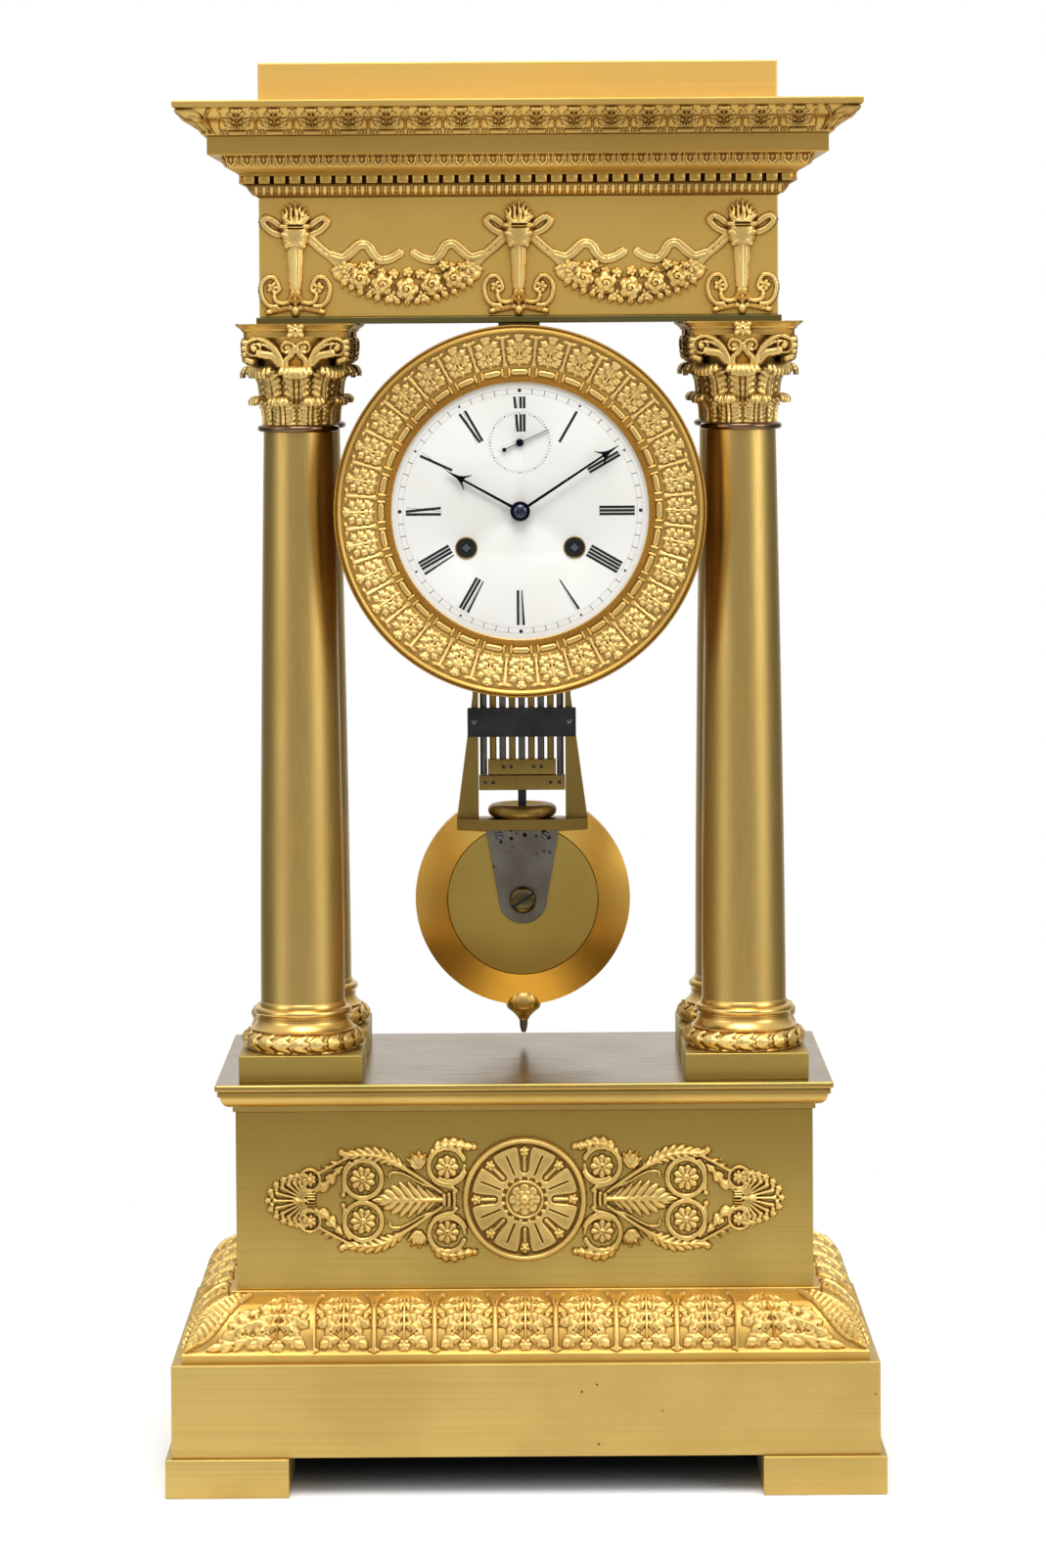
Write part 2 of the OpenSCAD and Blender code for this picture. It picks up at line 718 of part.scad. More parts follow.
module winding_eyelets() {
    lip = 0.6;
    color(BRASS) for (s = [-1, 1]) difference() {
        bar_y(s * wind_x, -wind_drop, dial_y - lip, dial_back, eyelet_r);
        bar_y(s * wind_x, -wind_drop, dial_y - lip - 1, dial_back + 1, eyelet_hole_r);
    }
}

module back_cover() {
    color(BRASS) difference() {
        bar_y(0, 0, drum_back, cover_back, drum_r);
        bar_y(0, anchor_rise, drum_back - 1, cover_back + 1, arbor_r + 2);
    }
}

// Movement

module front_plate() {
    stud_r = 1;
    color(BRASS) {
        difference() {
            bar_y(0, 0, front_plate_y, inside_y, drum_in);
            bar_y(0, 0, front_plate_y - 1, inside_y + 1, arbor_r + run_fit);
            bar_y(0, second_rise, front_plate_y - 1, inside_y + 1, arbor_r + run_fit);
            bar_y(third_x, third_rise, front_plate_y - 1, inside_y + 1, arbor_r + run_fit);
            bar_y(0, anchor_rise, front_plate_y - 1, inside_y + 1, arbor_r + run_fit);
            for (s = [-1, 1])
                bar_y(s * wind_x, -wind_drop, front_plate_y - 1, inside_y + 1, wind_r + run_fit);
        }
        bar_y(0, -motion_distance, hour_wheel_y - 0.6, front_plate_y, stud_r);
    }
}

module back_plate() {
    y1 = back_plate_y + plate_t;
    color(BRASS) difference() {
        bar_y(0, 0, back_plate_y, y1, back_plate_r);
        for (p = [[0, 0], [0, second_rise], [third_x, third_rise], [0, anchor_rise]])
            bar_y(p[0], p[1], back_plate_y - 1, y1 + 1, arbor_r + run_fit);
        for (s = [-1, 1])
            bar_y(s * wind_x, -wind_drop, back_plate_y - 1, y1 + 1, wind_r + run_fit);
    }
}

module plate_pillars() {
    pillar_r = 3;
    place = back_plate_r - pillar_r - 1.5;
    color(BRASS) for (a = [45:90:315])
        bar_y(place * cos(a), place * sin(a), inside_y, back_plate_y, pillar_r);
}

// A closed barrel with a toothed rim, bored for its winding arbor
module barrel(x, rim_y, rim_t, teeth, m, phase) {
    end = 1.5;
    color(BRASS) difference() {
        union() {
            bar_y(x, -wind_drop, barrel_y, rim_y, barrel_r);
            gear(x, -wind_drop, rim_y, rim_t, teeth, m, phase);
        }
        bar_y(x, -wind_drop, barrel_y + end, rim_y - end, barrel_r - end);
        bar_y(x, -wind_drop, barrel_y - 1, rim_y + rim_t + 1, wind_r + run_fit);
    }
}

// Angle from a winding arbor to the centre arbor
great_angle = atan2(wind_drop, -wind_x);

module going_barrel() {
    barrel(wind_x, great_y, 2, great_teeth, great_module, great_angle);
}

module strike_barrel() {
    strike_teeth = 80;
    barrel(-wind_x, great_y + 4, 2, strike_teeth, great_module, 0);
}

module winding_arbor(x) {
    front = dial_y + 0.5;
    color(STEEL) {
        bar_y(x, -wind_drop, front_plate_y - 1, back_plate_y + plate_t, wind_r);
        translate([x, 0, dial_z - wind_drop]) upright(front, front_plate_y - 1)
            rotate(45) square(wind_square, center = true);
    }
}

module going_winding_arbor() { winding_arbor(wind_x); }
module strike_winding_arbor() { winding_arbor(-wind_x); }

module centre_wheel() {
    to_third = atan2(third_rise, third_x);
    pinion_phase = great_angle + 180 + 180 / centre_pinion_teeth;
    color(BRASS) {
        bar_y(0, 0, minute_y - 0.6, back_plate_y + plate_t, arbor_r);
        gear(0, 0, centre_wheel_y, wheel_t, centre_teeth, centre_module, to_third);
        gear(0, 0, great_y - 0.3, 2.6, centre_pinion_teeth, great_module, pinion_phase);
    }
}

module third_wheel() {
    to_centre = atan2(-third_rise, -third_x);
    to_escape = atan2(second_rise - third_rise, -third_x);
    color(BRASS) {
        bar_y(third_x, third_rise, front_plate_y, back_plate_y + plate_t, arbor_r);
        gear(third_x, third_rise, centre_wheel_y - 0.3, wheel_t + 0.6, third_pinion_teeth, centre_module,
             to_centre + 180 / third_pinion_teeth);
        gear(third_x, third_rise, third_wheel_y, wheel_t, third_teeth, third_module, to_escape);
    }
}

module escape_wheel() {
    to_third = atan2(third_rise - second_rise, third_x);
    tooth = 1.3;
    tips = [for (i = [0:escape_teeth - 1]) for (k = [[0, -tooth], [0.3, 0], [0.4, 0], [0.45, -tooth]])
        let (a = 360 * (i + k[0]) / escape_teeth, r = escape_r + k[1]) [r * cos(a), r * sin(a)]];
    color(BRASS) {
        bar_y(0, second_rise, second_y - 0.3, back_plate_y + plate_t, arbor_r);
        gear(0, second_rise, third_wheel_y - 0.3, wheel_t + 0.6, escape_pinion_teeth, third_module,
             to_third + 180 / escape_pinion_teeth);
        translate([0, 0, dial_z + second_rise]) upright(escape_y, escape_y + wheel_t) polygon(tips);
    }
}

// Pallets over the escape wheel, and the crutch that leads the pendulum, on one arbor
module anchor() {
    clear = 0.5;
    reach = 9;
    drop = anchor_rise - second_rise;
    crutch_z = slot_z + slot_h / 2;
    pad_z = second_rise + sqrt((escape_r + clear) ^ 2 - reach ^ 2);
    pallet_h = anchor_rise - pad_z;
    color(STEEL) {
        bar_y(0, anchor_rise, front_plate_y, crutch_y + crutch_t, arbor_r);
        bar_y(0, anchor_rise, escape_y - 0.5, escape_y + wheel_t + 0.5, arbor_r + 2);
        translate([0, 0, dial_z + anchor_rise]) upright(escape_y - 0.2, escape_y + wheel_t + 0.2)
            difference() {
                translate([-reach - 2, -pallet_h]) square([2 * reach + 4, pallet_h]);
                translate([0, -drop]) circle(r = escape_r + clear + 1.2);
                for (s = [-1, 1]) translate([s * (reach + 6), 0]) rotate(s * 20)
                    translate([-5, -2]) square([10, 20]);
            }
        upright(crutch_y, crutch_y + crutch_t) {
            translate([-2, crutch_z - 4]) square([4, axis_z - crutch_z + 4]);
            translate([0, axis_z]) circle(r = 4);
            translate([0, crutch_z]) circle(r = 4);
        }
        translate([0, crutch_y + 0.5, crutch_z]) rotate([-90, 0, 0])
            cylinder(h = pend_y - rod_r - 0.5 - crutch_y - 0.5, r = crutch_pin_r);
    }
}

// Motion work and hands

module cannon_pinion() {
    color(STEEL) difference() {
        union() {
            bar_y(0, 0, minute_y, front_plate_y - 0.3, cannon_r);
            gear(0, 0, minute_wheel_y - 0.2, wheel_t + 0.4, cannon_teeth, motion_module,
                 90 + 180 / cannon_teeth);
        }
        bar_y(0, 0, minute_y - 1, front_plate_y + 1, arbor_r + run_fit);
    }
}

module minute_wheel() {
    stud_r = 1;
    color(BRASS) difference() {
        union() {
            gear(0, -motion_distance, minute_wheel_y, wheel_t, minute_teeth, motion_module, 90);
            gear(0, -motion_distance, hour_wheel_y - 0.2, minute_wheel_y - hour_wheel_y + 0.2,
                 minute_pinion_teeth, hour_module, 90 + 180 / minute_pinion_teeth);
        }
        bar_y(0, -motion_distance, hour_wheel_y - 1, front_plate_y, stud_r + run_fit);
    }
}

module hour_wheel() {
    color(BRASS) difference() {
        union() {
            gear(0, 0, hour_wheel_y, wheel_t, hour_teeth, hour_module, -90);
            bar_y(0, 0, hour_y, hour_wheel_y + wheel_t, pipe_r);
        }
        bar_y(0, 0, hour_y - 1, hour_wheel_y + wheel_t + 1, pipe_bore);
    }
}

// The blade of a slim hand with an arrow head and two curved barbs, pointing up
module blade_outline(length) {
    head = 9;
    barb = 3.2;
    waist = 0.8;
    neck = length - head;
    polygon([[-waist * 1.4, 0], [-waist, neck], [-barb, neck - 2.6], [-barb * 0.8, neck + 0.6],
        [-waist * 0.8, neck + 4], [0, length], [waist * 0.8, neck + 4],
        [barb * 0.8, neck + 0.6], [barb, neck - 2.6], [waist, neck], [waist * 1.4, 0]]);
}

module placed_hand(angle, y, length, bore) {
    color(BLUED) difference() {
        union() {
            bar_y(0, 0, y, y + hand_t, hub_r);
            translate([0, 0, dial_z]) upright(y, y + hand_t) rotate(-angle) blade_outline(length);
        }
        bar_y(0, 0, y - 1, y + hand_t + 1, bore);
    }
}

module hour_hand() { placed_hand(hour_angle, hour_y, hour_len, pipe_r); }
module minute_hand() { placed_hand(minute_angle, minute_y, minute_len, cannon_r); }

module seconds_hand() {
    tail = 7.8;
    color(BLUED) difference() {
        union() {
            bar_y(0, second_rise, second_y, second_y + hand_t, arbor_r + 0.6);
            translate([0, 0, dial_z + second_rise]) rotate([0, second_angle, 0]) upright(second_y, second_y + hand_t) {
                polygon([[-0.35, -tail], [-0.2, second_len], [0.2, second_len], [0.35, -tail]]);
                translate([0, -tail]) circle(r = 0.9);
            }
        }
        bar_y(0, second_rise, second_y - 1, second_y + hand_t + 1, arbor_r);
    }
}

module hand_screw() {
    head_r = 3;
    color(BLUED) difference() {
        turned_forward(0, minute_y - 0.65, dial_z)
            polygon([[0, 0], [head_r, 0], [head_r, 0.5], [head_r * 0.6, 1.2], [0, 1.5]]);
        translate([0, 0, dial_z]) upright(minute_y - 3, minute_y - 1.6) rotate(20) square([8, 0.7], center = true);
    }
}

// Pendulum

module suspension_cock() {
    jaw_z = axis_z + 0.4;
    jaw_top = axis_z + 10;
    color(BRASS) {
        block(18, pend_y - 7, pend_y + 7, jaw_top, architrave_z - jaw_top);
        block(12, pend_y - 4, pend_y + 4, jaw_z, jaw_top - jaw_z);
    }
}

module suspension_spring() {
    color(STEEL) block(8, pend_y - 0.2, pend_y + 0.2, stem_top, axis_z - stem_top);
}

module pendulum_frame() {
    y0 = pend_y - bar_t / 2;
    y1 = pend_y + bar_t / 2;
    slot_w = 2 * (crutch_pin_r + run_fit);
    bow = 6;
    color(BRASS) {
        difference() {
            union() {
                block(frame_w, y0 - 2, y1, frame_z, frame_h);
                intersection() {
                    block(frame_w * 0.72, y0 - 2 - bow, y0, frame_z, frame_h);
                    translate([0, y0 - 2 - bow + frame_w, frame_z]) cylinder(h = frame_h, r = frame_w);
                }
            }
            translate([0, pend_y, frame_z - 1]) cylinder(h = frame_h + 2, r = rating_r + run_fit);
        }
        for (s = [-1, 1]) upright(y0, y1) polygon([[s * bar_in, frame_top], [s * frame_w / 2, frame_top],
            [s * bar_out, frame_top + taper_h], [s * bar_out, head_z + head_h], [s * bar_in, head_z + head_h]]);
        block(2 * bar_out, y0, y1, head_z, head_h);
        block(10, pend_y - 4, pend_y + 4, head_z + head_h, stem_top - head_z - head_h);
        difference() {
            block(2 * bar_out, y0, pend_y - rod_r - 0.35, slot_z, slot_h);
            block(slot_w, y0 - 1, pend_y, slot_z + 2, slot_h - 4);
        }
    }
}

// Rods of one metal: every second rod, starting from the outside or one in
module rods(first) {
    half = (rod_n - 1) / 2;
    for (i = [first:2:rod_n - 1]) let (x = (i - half) * rod_pitch, outer = abs(i - half) == half)
        translate([x, pend_y, outer ? upper_bar_z : rods_z])
            cylinder(h = head_z - (outer ? upper_bar_z : rods_z), r = rod_r);
}

module steel_rods() { color(DARK) rods(0); }
module brass_rods() { color(BRASS) rods(1); }

module cross_band() {
    y1 = pend_y - bar_t / 2;
    color(DARK) block(2 * bar_out + 5, y1 - 2, y1, band_z, band_h);
}

module cross_bars() {
    color(BRASS) {
        block(lower_bar_w, pend_y - 3.5, pend_y + 3.5, lower_bar_z, cross_h);
        block(upper_bar_w, pend_y - 3, pend_y + 3, upper_bar_z, cross_h);
        translate([0, pend_y, frame_z]) cylinder(h = lower_bar_z - frame_z, r = rating_r);
    }
}

module rating_nut() {
    r = nut_r;
    color(BRASS) translate([0, pend_y, frame_top + 0.3]) difference() {
        rotate_extrude() polygon([[0, 0], [r * 0.8, 0], [r - 0.6, nut_h * 0.25], [r, nut_h * 0.5],
            [r - 0.6, nut_h * 0.8], [r * 0.85, nut_h], [r * 0.5, nut_h * 0.8], [0, nut_h * 0.6]]);
        translate([0, 0, -1]) cylinder(h = nut_h + 2, r = rating_r + run_fit);
    }
}

module bob_bracket() {
    top_w = 35;
    low_r = 11.5;
    color(STEEL) difference() {
        upright(bob_front - bracket_t, bob_front) {
            translate([0, bob_z]) circle(r = low_r);
            polygon([[-top_w / 2, frame_z], [top_w / 2, frame_z], [low_r, bob_z], [-low_r, bob_z]]);
        }
        translate([0, bob_front + 1, bob_z]) rotate([90, 0, 0]) cylinder(h = bracket_t + 2, r = bob_screw_r / 2);
    }
}

// Lens of the bob, cut level under the frame plate
module bob_ring() {
    half = bob_t / 2;
    rim = bob_rim_t / 2;
    color(GILT) difference() {
        turned_forward(0, pend_y, bob_z)
            polygon([[bob_face_r, -half], [bob_r, -rim], [bob_r, rim], [bob_face_r, half]]);
        block(2 * bob_r + 2, pend_y - bob_t, pend_y + bob_t, frame_z, bob_r);
    }
}

module bob_face() {
    color(BRASS) difference() {
        turned_forward(0, pend_y + bob_t / 2, bob_z) square([bob_face_r, bob_t]);
        block(2 * bob_r + 2, pend_y - bob_t, pend_y + bob_t, frame_z, bob_r);
        translate([0, bob_front - 1, bob_z]) rotate([-90, 0, 0]) cylinder(h = 9, r = bob_screw_r / 2);
    }
}

// A slotted round head on a short shank
module slotted_screw(x, y, z, r, shank, turn) {
    head = r * 0.45;
    slot = r * 0.22;
    color(STEEL) difference() {
        turned_forward(x, y, z)
            polygon([[0, -shank], [r / 2, -shank], [r / 2, 0], [r, 0], [r, head * 0.6], [r * 0.7, head], [0, head * 1.2]]);
        translate([x, 0, z]) upright(y - head * 2, y - head * 0.5) rotate(turn) square([2 * r + 2, slot], center = true);
    }
}

module bob_screw() {
    slotted_screw(0, bob_front - bracket_t, bob_z, bob_screw_r, bracket_t + 6, 35);
}

module bracket_screws() {
    for (s = [-1, 1]) slotted_screw(s * 11, bob_front - bracket_t, frame_z - 2.5, 1.6, 0, 35);
}

// Ball with a pointed drop and a steel pin, seated on the rim of the bob
module finial() {
    ball_z = bob_z - bob_r + 2.5;
    tip_z = bob_z - bob_r - finial_drop;
    pin_h = 6;
    color(GILT) difference() {
        translate([0, pend_y, 0]) rotate_extrude() polygon(concat(
            [[0, tip_z], [0.9, tip_z], [1.4, tip_z + pin_h]],
            [for (a = [-35:15:90]) [finial_r * cos(a), ball_z + finial_r * sin(a)]]));
        turned_forward(0, pend_y + bob_t, bob_z) square([bob_r, 2 * bob_t]);
    }
}

corner_feet();
base_block();
leaf_plinth();
pedestal_box();
pedestal_moulding();
pedestal_top_plate();
medallion_mount();
scroll_mount_left();
scroll_mount_right();
column_plinths();
column_bases();
column_shafts();
capitals();
architrave_plate();
frieze_box();
torch_mounts();
garland_mounts();
egg_course();
dentil_course();
corona_course();
cyma_course();
attic_block();
drum_case();
saddle_block();
bezel();
dial();
winding_eyelets();
back_cover();
front_plate();
back_plate();
plate_pillars();
going_barrel();
strike_barrel();
going_winding_arbor();
strike_winding_arbor();
centre_wheel();
third_wheel();
escape_wheel();
anchor();
cannon_pinion();
minute_wheel();
hour_wheel();
hour_hand();
minute_hand();
seconds_hand();
hand_screw();
suspension_cock();
suspension_spring();
pendulum_frame();
steel_rods();
brass_rods();
cross_band();
cross_bars();
rating_nut();
bob_bracket();
bob_ring();
bob_face();
bob_screw();
bracket_screws();
finial();
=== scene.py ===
"""Portico clock: gilt case, leaf mouldings, enamel dial and gridiron pendulum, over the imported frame."""
import json
import math

import bmesh
import bpy
import numpy as np
from mathutils import Matrix, Vector


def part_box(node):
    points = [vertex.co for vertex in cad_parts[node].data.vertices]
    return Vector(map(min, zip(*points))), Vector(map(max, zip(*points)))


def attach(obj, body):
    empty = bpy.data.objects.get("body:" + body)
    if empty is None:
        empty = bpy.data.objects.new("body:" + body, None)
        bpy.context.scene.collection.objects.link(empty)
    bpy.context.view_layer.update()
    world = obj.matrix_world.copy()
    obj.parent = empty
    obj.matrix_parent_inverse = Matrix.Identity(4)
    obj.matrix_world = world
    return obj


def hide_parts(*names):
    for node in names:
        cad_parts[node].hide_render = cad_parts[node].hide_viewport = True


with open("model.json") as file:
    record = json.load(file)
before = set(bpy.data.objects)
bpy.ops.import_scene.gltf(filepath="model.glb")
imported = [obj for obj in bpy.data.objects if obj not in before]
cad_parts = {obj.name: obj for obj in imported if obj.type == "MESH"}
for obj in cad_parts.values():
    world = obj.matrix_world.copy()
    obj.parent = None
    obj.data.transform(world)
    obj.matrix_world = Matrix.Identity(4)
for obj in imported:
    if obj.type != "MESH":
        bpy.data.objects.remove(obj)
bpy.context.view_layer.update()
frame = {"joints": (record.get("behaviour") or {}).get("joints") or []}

MM = 0.001
TAU = 2 * math.pi
FACING = (0, 1, 0)
UPRIGHT = (0, 0, 1)

# Sizes taken from the frame, in millimetres


def span(node):
    """A node's lowest and highest corners, in millimetres."""
    low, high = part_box(node)
    return np.array(low) / MM, np.array(high) / MM


def levels(node):
    """A node's lowest and highest levels."""
    low, high = span(node)
    return low[2], high[2]


def joint_place(name):
    """Where a joint's axis passes, in millimetres."""
    joint = next(j for j in frame["joints"] if j["name"] == name)
    return np.array(joint["pos_m"]) / MM


DIAL_X, _, DIAL_Z = joint_place("minute_turn")
SECOND_Z = joint_place("seconds_turn")[2]
WIND_X, _, WIND_Z = joint_place("going_wind")
PEND_Y = joint_place("pendulum_swing")[1]

# Lines and outlines


def lifted(z, *points):
    """An outline's points (projection, height), raised to a level."""
    return [(p, z + h) for p, h in points]


def bulge(r, z, wide, tall, start, end, count):
    """A rounded part of an outline around (r, z), between two angles."""
    return [(r + wide * math.cos(a), z + tall * math.sin(a)) for a in np.linspace(start, end, count)]


def spiral(centre, r_start, r_end, start, end, count=30):
    """Points of a spiral, in degrees anticlockwise from the right."""
    return [(centre[0] + r * math.cos(math.radians(a)), centre[1] + r * math.sin(math.radians(a)))
            for r, a in zip(np.linspace(r_start, r_end, count), np.linspace(start, end, count))]


def circle(x, z, r, count=48):
    """Points of a circle, clockwise from the top."""
    return [(x + r * math.sin(a), z + r * math.cos(a)) for a in np.linspace(0, TAU, count, endpoint=False)]


def turned(points, angle, x=0.0, z=0.0):
    """Points drawn for twelve o'clock, turned clockwise by an angle in degrees and moved."""
    c, s = math.cos(math.radians(angle)), math.sin(math.radians(angle))
    return [(x + a * c + b * s, z - a * s + b * c) for a, b in points]


def mirrored(side, points):
    """Points as drawn for the right, on the right (1) or the left (-1)."""
    return [(side * u, v) for u, v in points]


def smooth_line(points, count):
    """Points along a soft curve through the given points, evenly spaced."""
    p = np.asarray(points, float)
    t = np.concatenate([[0], np.cumsum(np.linalg.norm(np.diff(p, axis=0), axis=1))])
    ext = np.vstack([2 * p[0] - p[1], p, 2 * p[-1] - p[-2]])
    tangents = (ext[2:] - ext[:-2]) / 2
    out = []
    for s in np.linspace(0, t[-1], count):
        k = min(np.searchsorted(t, s, side="right") - 1, len(p) - 2)
        u = (s - t[k]) / (t[k + 1] - t[k])
        a, b = p[k], p[k + 1]
        ma, mb = tangents[k], tangents[k + 1]
        out.append((2 * u ** 3 - 3 * u ** 2 + 1) * a + (u ** 3 - 2 * u ** 2 + u) * ma
                   + (-2 * u ** 3 + 3 * u ** 2) * b + (u ** 3 - u ** 2) * mb)
    return np.array(out)


def soft_curve(side, count, *points):
    """A soft curve drawn for the right, on one side."""
    return smooth_line(mirrored(side, points), count)


# Mesh helpers

PLAIN_WEAR_AND_SHADE = 0.55


def new_piece(name, mesh):
    """Puts a mesh into the scene as a piece."""
    piece = bpy.data.objects.new(name, mesh)
    bpy.context.scene.collection.objects.link(piece)
    return piece


def shade(mesh, smooth_angle):
    """Smooth faces, with crisp corners above an angle in degrees."""
    mesh.polygons.foreach_set("use_smooth", np.ones(len(mesh.polygons), bool))
    mesh.set_sharp_from_angle(angle=math.radians(smooth_angle))


def mesh_object(name, verts, faces, wear=None, smooth_angle=40):
    """A mesh piece from points in millimetres and arrays of face corners."""
    verts = np.asarray(verts, float).reshape(-1, 3) * MM
    faces = [np.asarray(f, int) for f in (faces if isinstance(faces, list) else [faces]) if len(f)]
    mesh = bpy.data.meshes.new(name)
    mesh.vertices.add(len(verts))
    mesh.vertices.foreach_set("co", verts.ravel())
    corners = np.concatenate([f.ravel() for f in faces])
    sizes = np.concatenate([np.full(len(f), f.shape[1]) for f in faces])
    mesh.loops.add(len(corners))
    mesh.loops.foreach_set("vertex_index", corners)
    mesh.polygons.add(len(sizes))
    mesh.polygons.foreach_set("loop_start", np.concatenate([[0], np.cumsum(sizes)[:-1]]))
    mesh.update(calc_edges=True)
    mesh.validate()
    # A measure for each point: carved finishes darken its low values, partly as patina and partly as
    # painted shade.
    if wear is not None:
        layer = mesh.attributes.new("wear", "FLOAT", "POINT")
        layer.data.foreach_set("value", np.asarray(wear, float).ravel())
    shade(mesh, smooth_angle)
    return new_piece(name, mesh)


def tidy_mesh(piece, merge=0.002, smooth_angle=40):
    """Merges doubled points, turns faces outwards and keeps corners crisp."""
    work = bmesh.new()
    work.from_mesh(piece.data)
    bmesh.ops.remove_doubles(work, verts=work.verts, dist=merge * MM)
    bmesh.ops.recalc_face_normals(work, faces=work.faces)
    work.to_mesh(piece.data)
    work.free()
    shade(piece.data, smooth_angle)
    return piece


def from_bmesh(name, work, smooth_angle):
    """Turns a finished bmesh into a piece."""
    mesh = bpy.data.meshes.new(name)
    work.to_mesh(mesh)
    work.free()
    shade(mesh, smooth_angle)
    return new_piece(name, mesh)


def round_edges(work, edges, rounding, segments, clamp=False):
    bmesh.ops.bevel(work, geom=edges, offset=rounding * MM, segments=segments, profile=0.5,
                    affect="EDGES", clamp_overlap=clamp)


def grid_quads(rows, cols, wrap=False):
    """Corners of the quads of a grid of points stored row by row; wrap joins the last row to the first."""
    last = rows if wrap else rows - 1
    i, j = np.meshgrid(np.arange(last), np.arange(cols - 1), indexing="ij")
    i, j = i.ravel(), j.ravel()
    n = (i + 1) % rows
    return np.stack([i * cols + j, n * cols + j, n * cols + j + 1, i * cols + j + 1], axis=1)


def lathe(name, profile, centre, axis="up", turns=96):
    """A turned piece; its outline is (radius, height), standing up or lying with its height forward."""
    outline = np.asarray(profile, float)
    a = np.linspace(0, TAU, turns, endpoint=False)
    r, h = outline[:, 0], outline[:, 1]
    x = np.cos(a)[:, None] * r[None, :]
    y = np.sin(a)[:, None] * r[None, :]
    up = np.broadcast_to(h, x.shape)
    pts = np.stack([x, y, up] if axis == "up" else [x, -up, y], axis=-1).reshape(-1, 3)
    quads = grid_quads(turns, len(outline), wrap=True)
    return tidy_mesh(mesh_object(name, pts + np.asarray(centre, float), quads))


def slab(name, low, high, rounding=0.5, segments=4):
    """A plain block with softly rounded edges."""
    low, high = np.asarray(low, float), np.asarray(high, float)
    work = bmesh.new()
    bmesh.ops.create_cube(work, size=1.0)
    for v in work.verts:
        v.co = Vector(((low + high) / 2 + np.array(v.co) * (high - low)) * MM)
    round_edges(work, list(work.edges), rounding, segments)
    return from_bmesh(name, work, 10)


def plate(name, outline, y_front, y_back, rounding, holes=()):
    """A flat plate seen from the front: a closed outline of (x, z), with a softened edge."""
    work = bmesh.new()
    edges = []
    for loop in (outline, *holes):
        ends = [work.verts.new(Vector((x, y_front, z)) * MM) for x, z in loop]
        edges += [work.edges.new(pair) for pair in zip(ends, ends[1:] + ends[:1])]
    made = bmesh.ops.triangle_fill(work, use_beauty=True, edges=edges)
    faces = [f for f in made["geom"] if isinstance(f, bmesh.types.BMFace)]
    grown = bmesh.ops.extrude_face_region(work, geom=faces)
    moved = [v for v in grown["geom"] if isinstance(v, bmesh.types.BMVert)]
    bmesh.ops.translate(work, verts=moved, vec=Vector((0, (y_back - y_front) * MM, 0)))
    bmesh.ops.recalc_face_normals(work, faces=work.faces)
    rim = [e for e in work.edges if len(e.link_faces) == 2 and e.calc_face_angle(0) > 1.0
           and abs(e.verts[0].co.y - e.verts[1].co.y) < 1e-7]
    round_edges(work, rim, rounding, 2)
    return from_bmesh(name, work, 50)


def inlay(name, shapes, y_front, y_back):
    """Thin flat shapes, each a closed outline of (x, z) without hollows."""
    verts, faces, base = [], {}, 0
    for shape in shapes:
        n = len(shape)
        verts += [(x, y_front, z) for x, z in shape] + [(x, y_back, z) for x, z in shape]
        ids = np.arange(n)
        after = (ids + 1) % n
        faces.setdefault(n, []).extend([base + ids, base + n + ids[::-1]])
        faces.setdefault(4, []).extend(list(np.stack([ids, ids + n, after + n, after], 1) + base))
        base += 2 * n
    piece = mesh_object(name, verts, [np.array(f) for f in faces.values()])
    return tidy_mesh(piece, 0.0001)


def read_out(items, label, kind=int, width=1):
    """What each item of a mesh has under a label, in one array."""
    values = np.empty(len(items) * width, kind)
    items.foreach_get(label, values)
    return values


def joined(name, pieces):
    """One piece from several; a piece without its own measure of patina and painted shade gets an even one.
    """
    verts, corners, sizes, wear_and_shade_values, base = [], [], [], [], 0
    for p in pieces:
        mesh = p.data
        count = len(mesh.vertices)
        wear = mesh.attributes.get("wear")
        verts.append(read_out(mesh.vertices, "co", float, 3).reshape(-1, 3) / MM)
        corners.append(read_out(mesh.loops, "vertex_index") + base)
        sizes.append(read_out(mesh.polygons, "loop_total"))
        wear_and_shade_values.append(read_out(wear.data, "value", float) if wear else np.full(count, PLAIN_WEAR_AND_SHADE))
        base += count
        bpy.data.objects.remove(p)
    corners, sizes = np.concatenate(corners), np.concatenate(sizes)
    starts = np.concatenate([[0], np.cumsum(sizes)[:-1]])
    faces = [corners[starts[sizes == n][:, None] + np.arange(n)] for n in np.unique(sizes)]
    return mesh_object(name, np.concatenate(verts), faces, np.concatenate(wear_and_shade_values), 50)


def dress(piece, material, nodes=(), body="case"):
    """Gives a finished piece its material, its body and the CAD nodes that it stands for."""
    piece.data.materials.clear()
    piece.data.materials.append(material)
    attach(piece, body)
    if nodes:
        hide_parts(*nodes)
    return piece


def soft_node(node, finish, rounding, body="case"):
    """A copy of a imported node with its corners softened, in its place."""
    work = bmesh.new()
    work.from_mesh(bpy.data.objects[node].data)
    bmesh.ops.remove_doubles(work, verts=work.verts, dist=0.001 * MM)
    bmesh.ops.dissolve_limit(work, angle_limit=math.radians(1), verts=work.verts, edges=work.edges)
    sharp = [e for e in work.edges if len(e.link_faces) == 2 and e.calc_face_angle(0) > math.radians(35)]
    if rounding:
        round_edges(work, sharp, rounding, 2, clamp=True)
    dress(from_bmesh(node + "_softened", work, 20), finish, [node], body)


def settled(piece, modifier):
    """Keeps what a modifier makes of a piece as its plain mesh."""
    bpy.context.view_layer.update()
    done = piece.evaluated_get(bpy.context.evaluated_depsgraph_get())
    mesh = bpy.data.meshes.new_from_object(done)
    piece.modifiers.remove(modifier)
    piece.data = mesh
    return piece


def drop(*pieces):
    """Removes tiles that have been repeated and cutters that have cut."""
    for p in pieces:
        bpy.data.objects.remove(p)


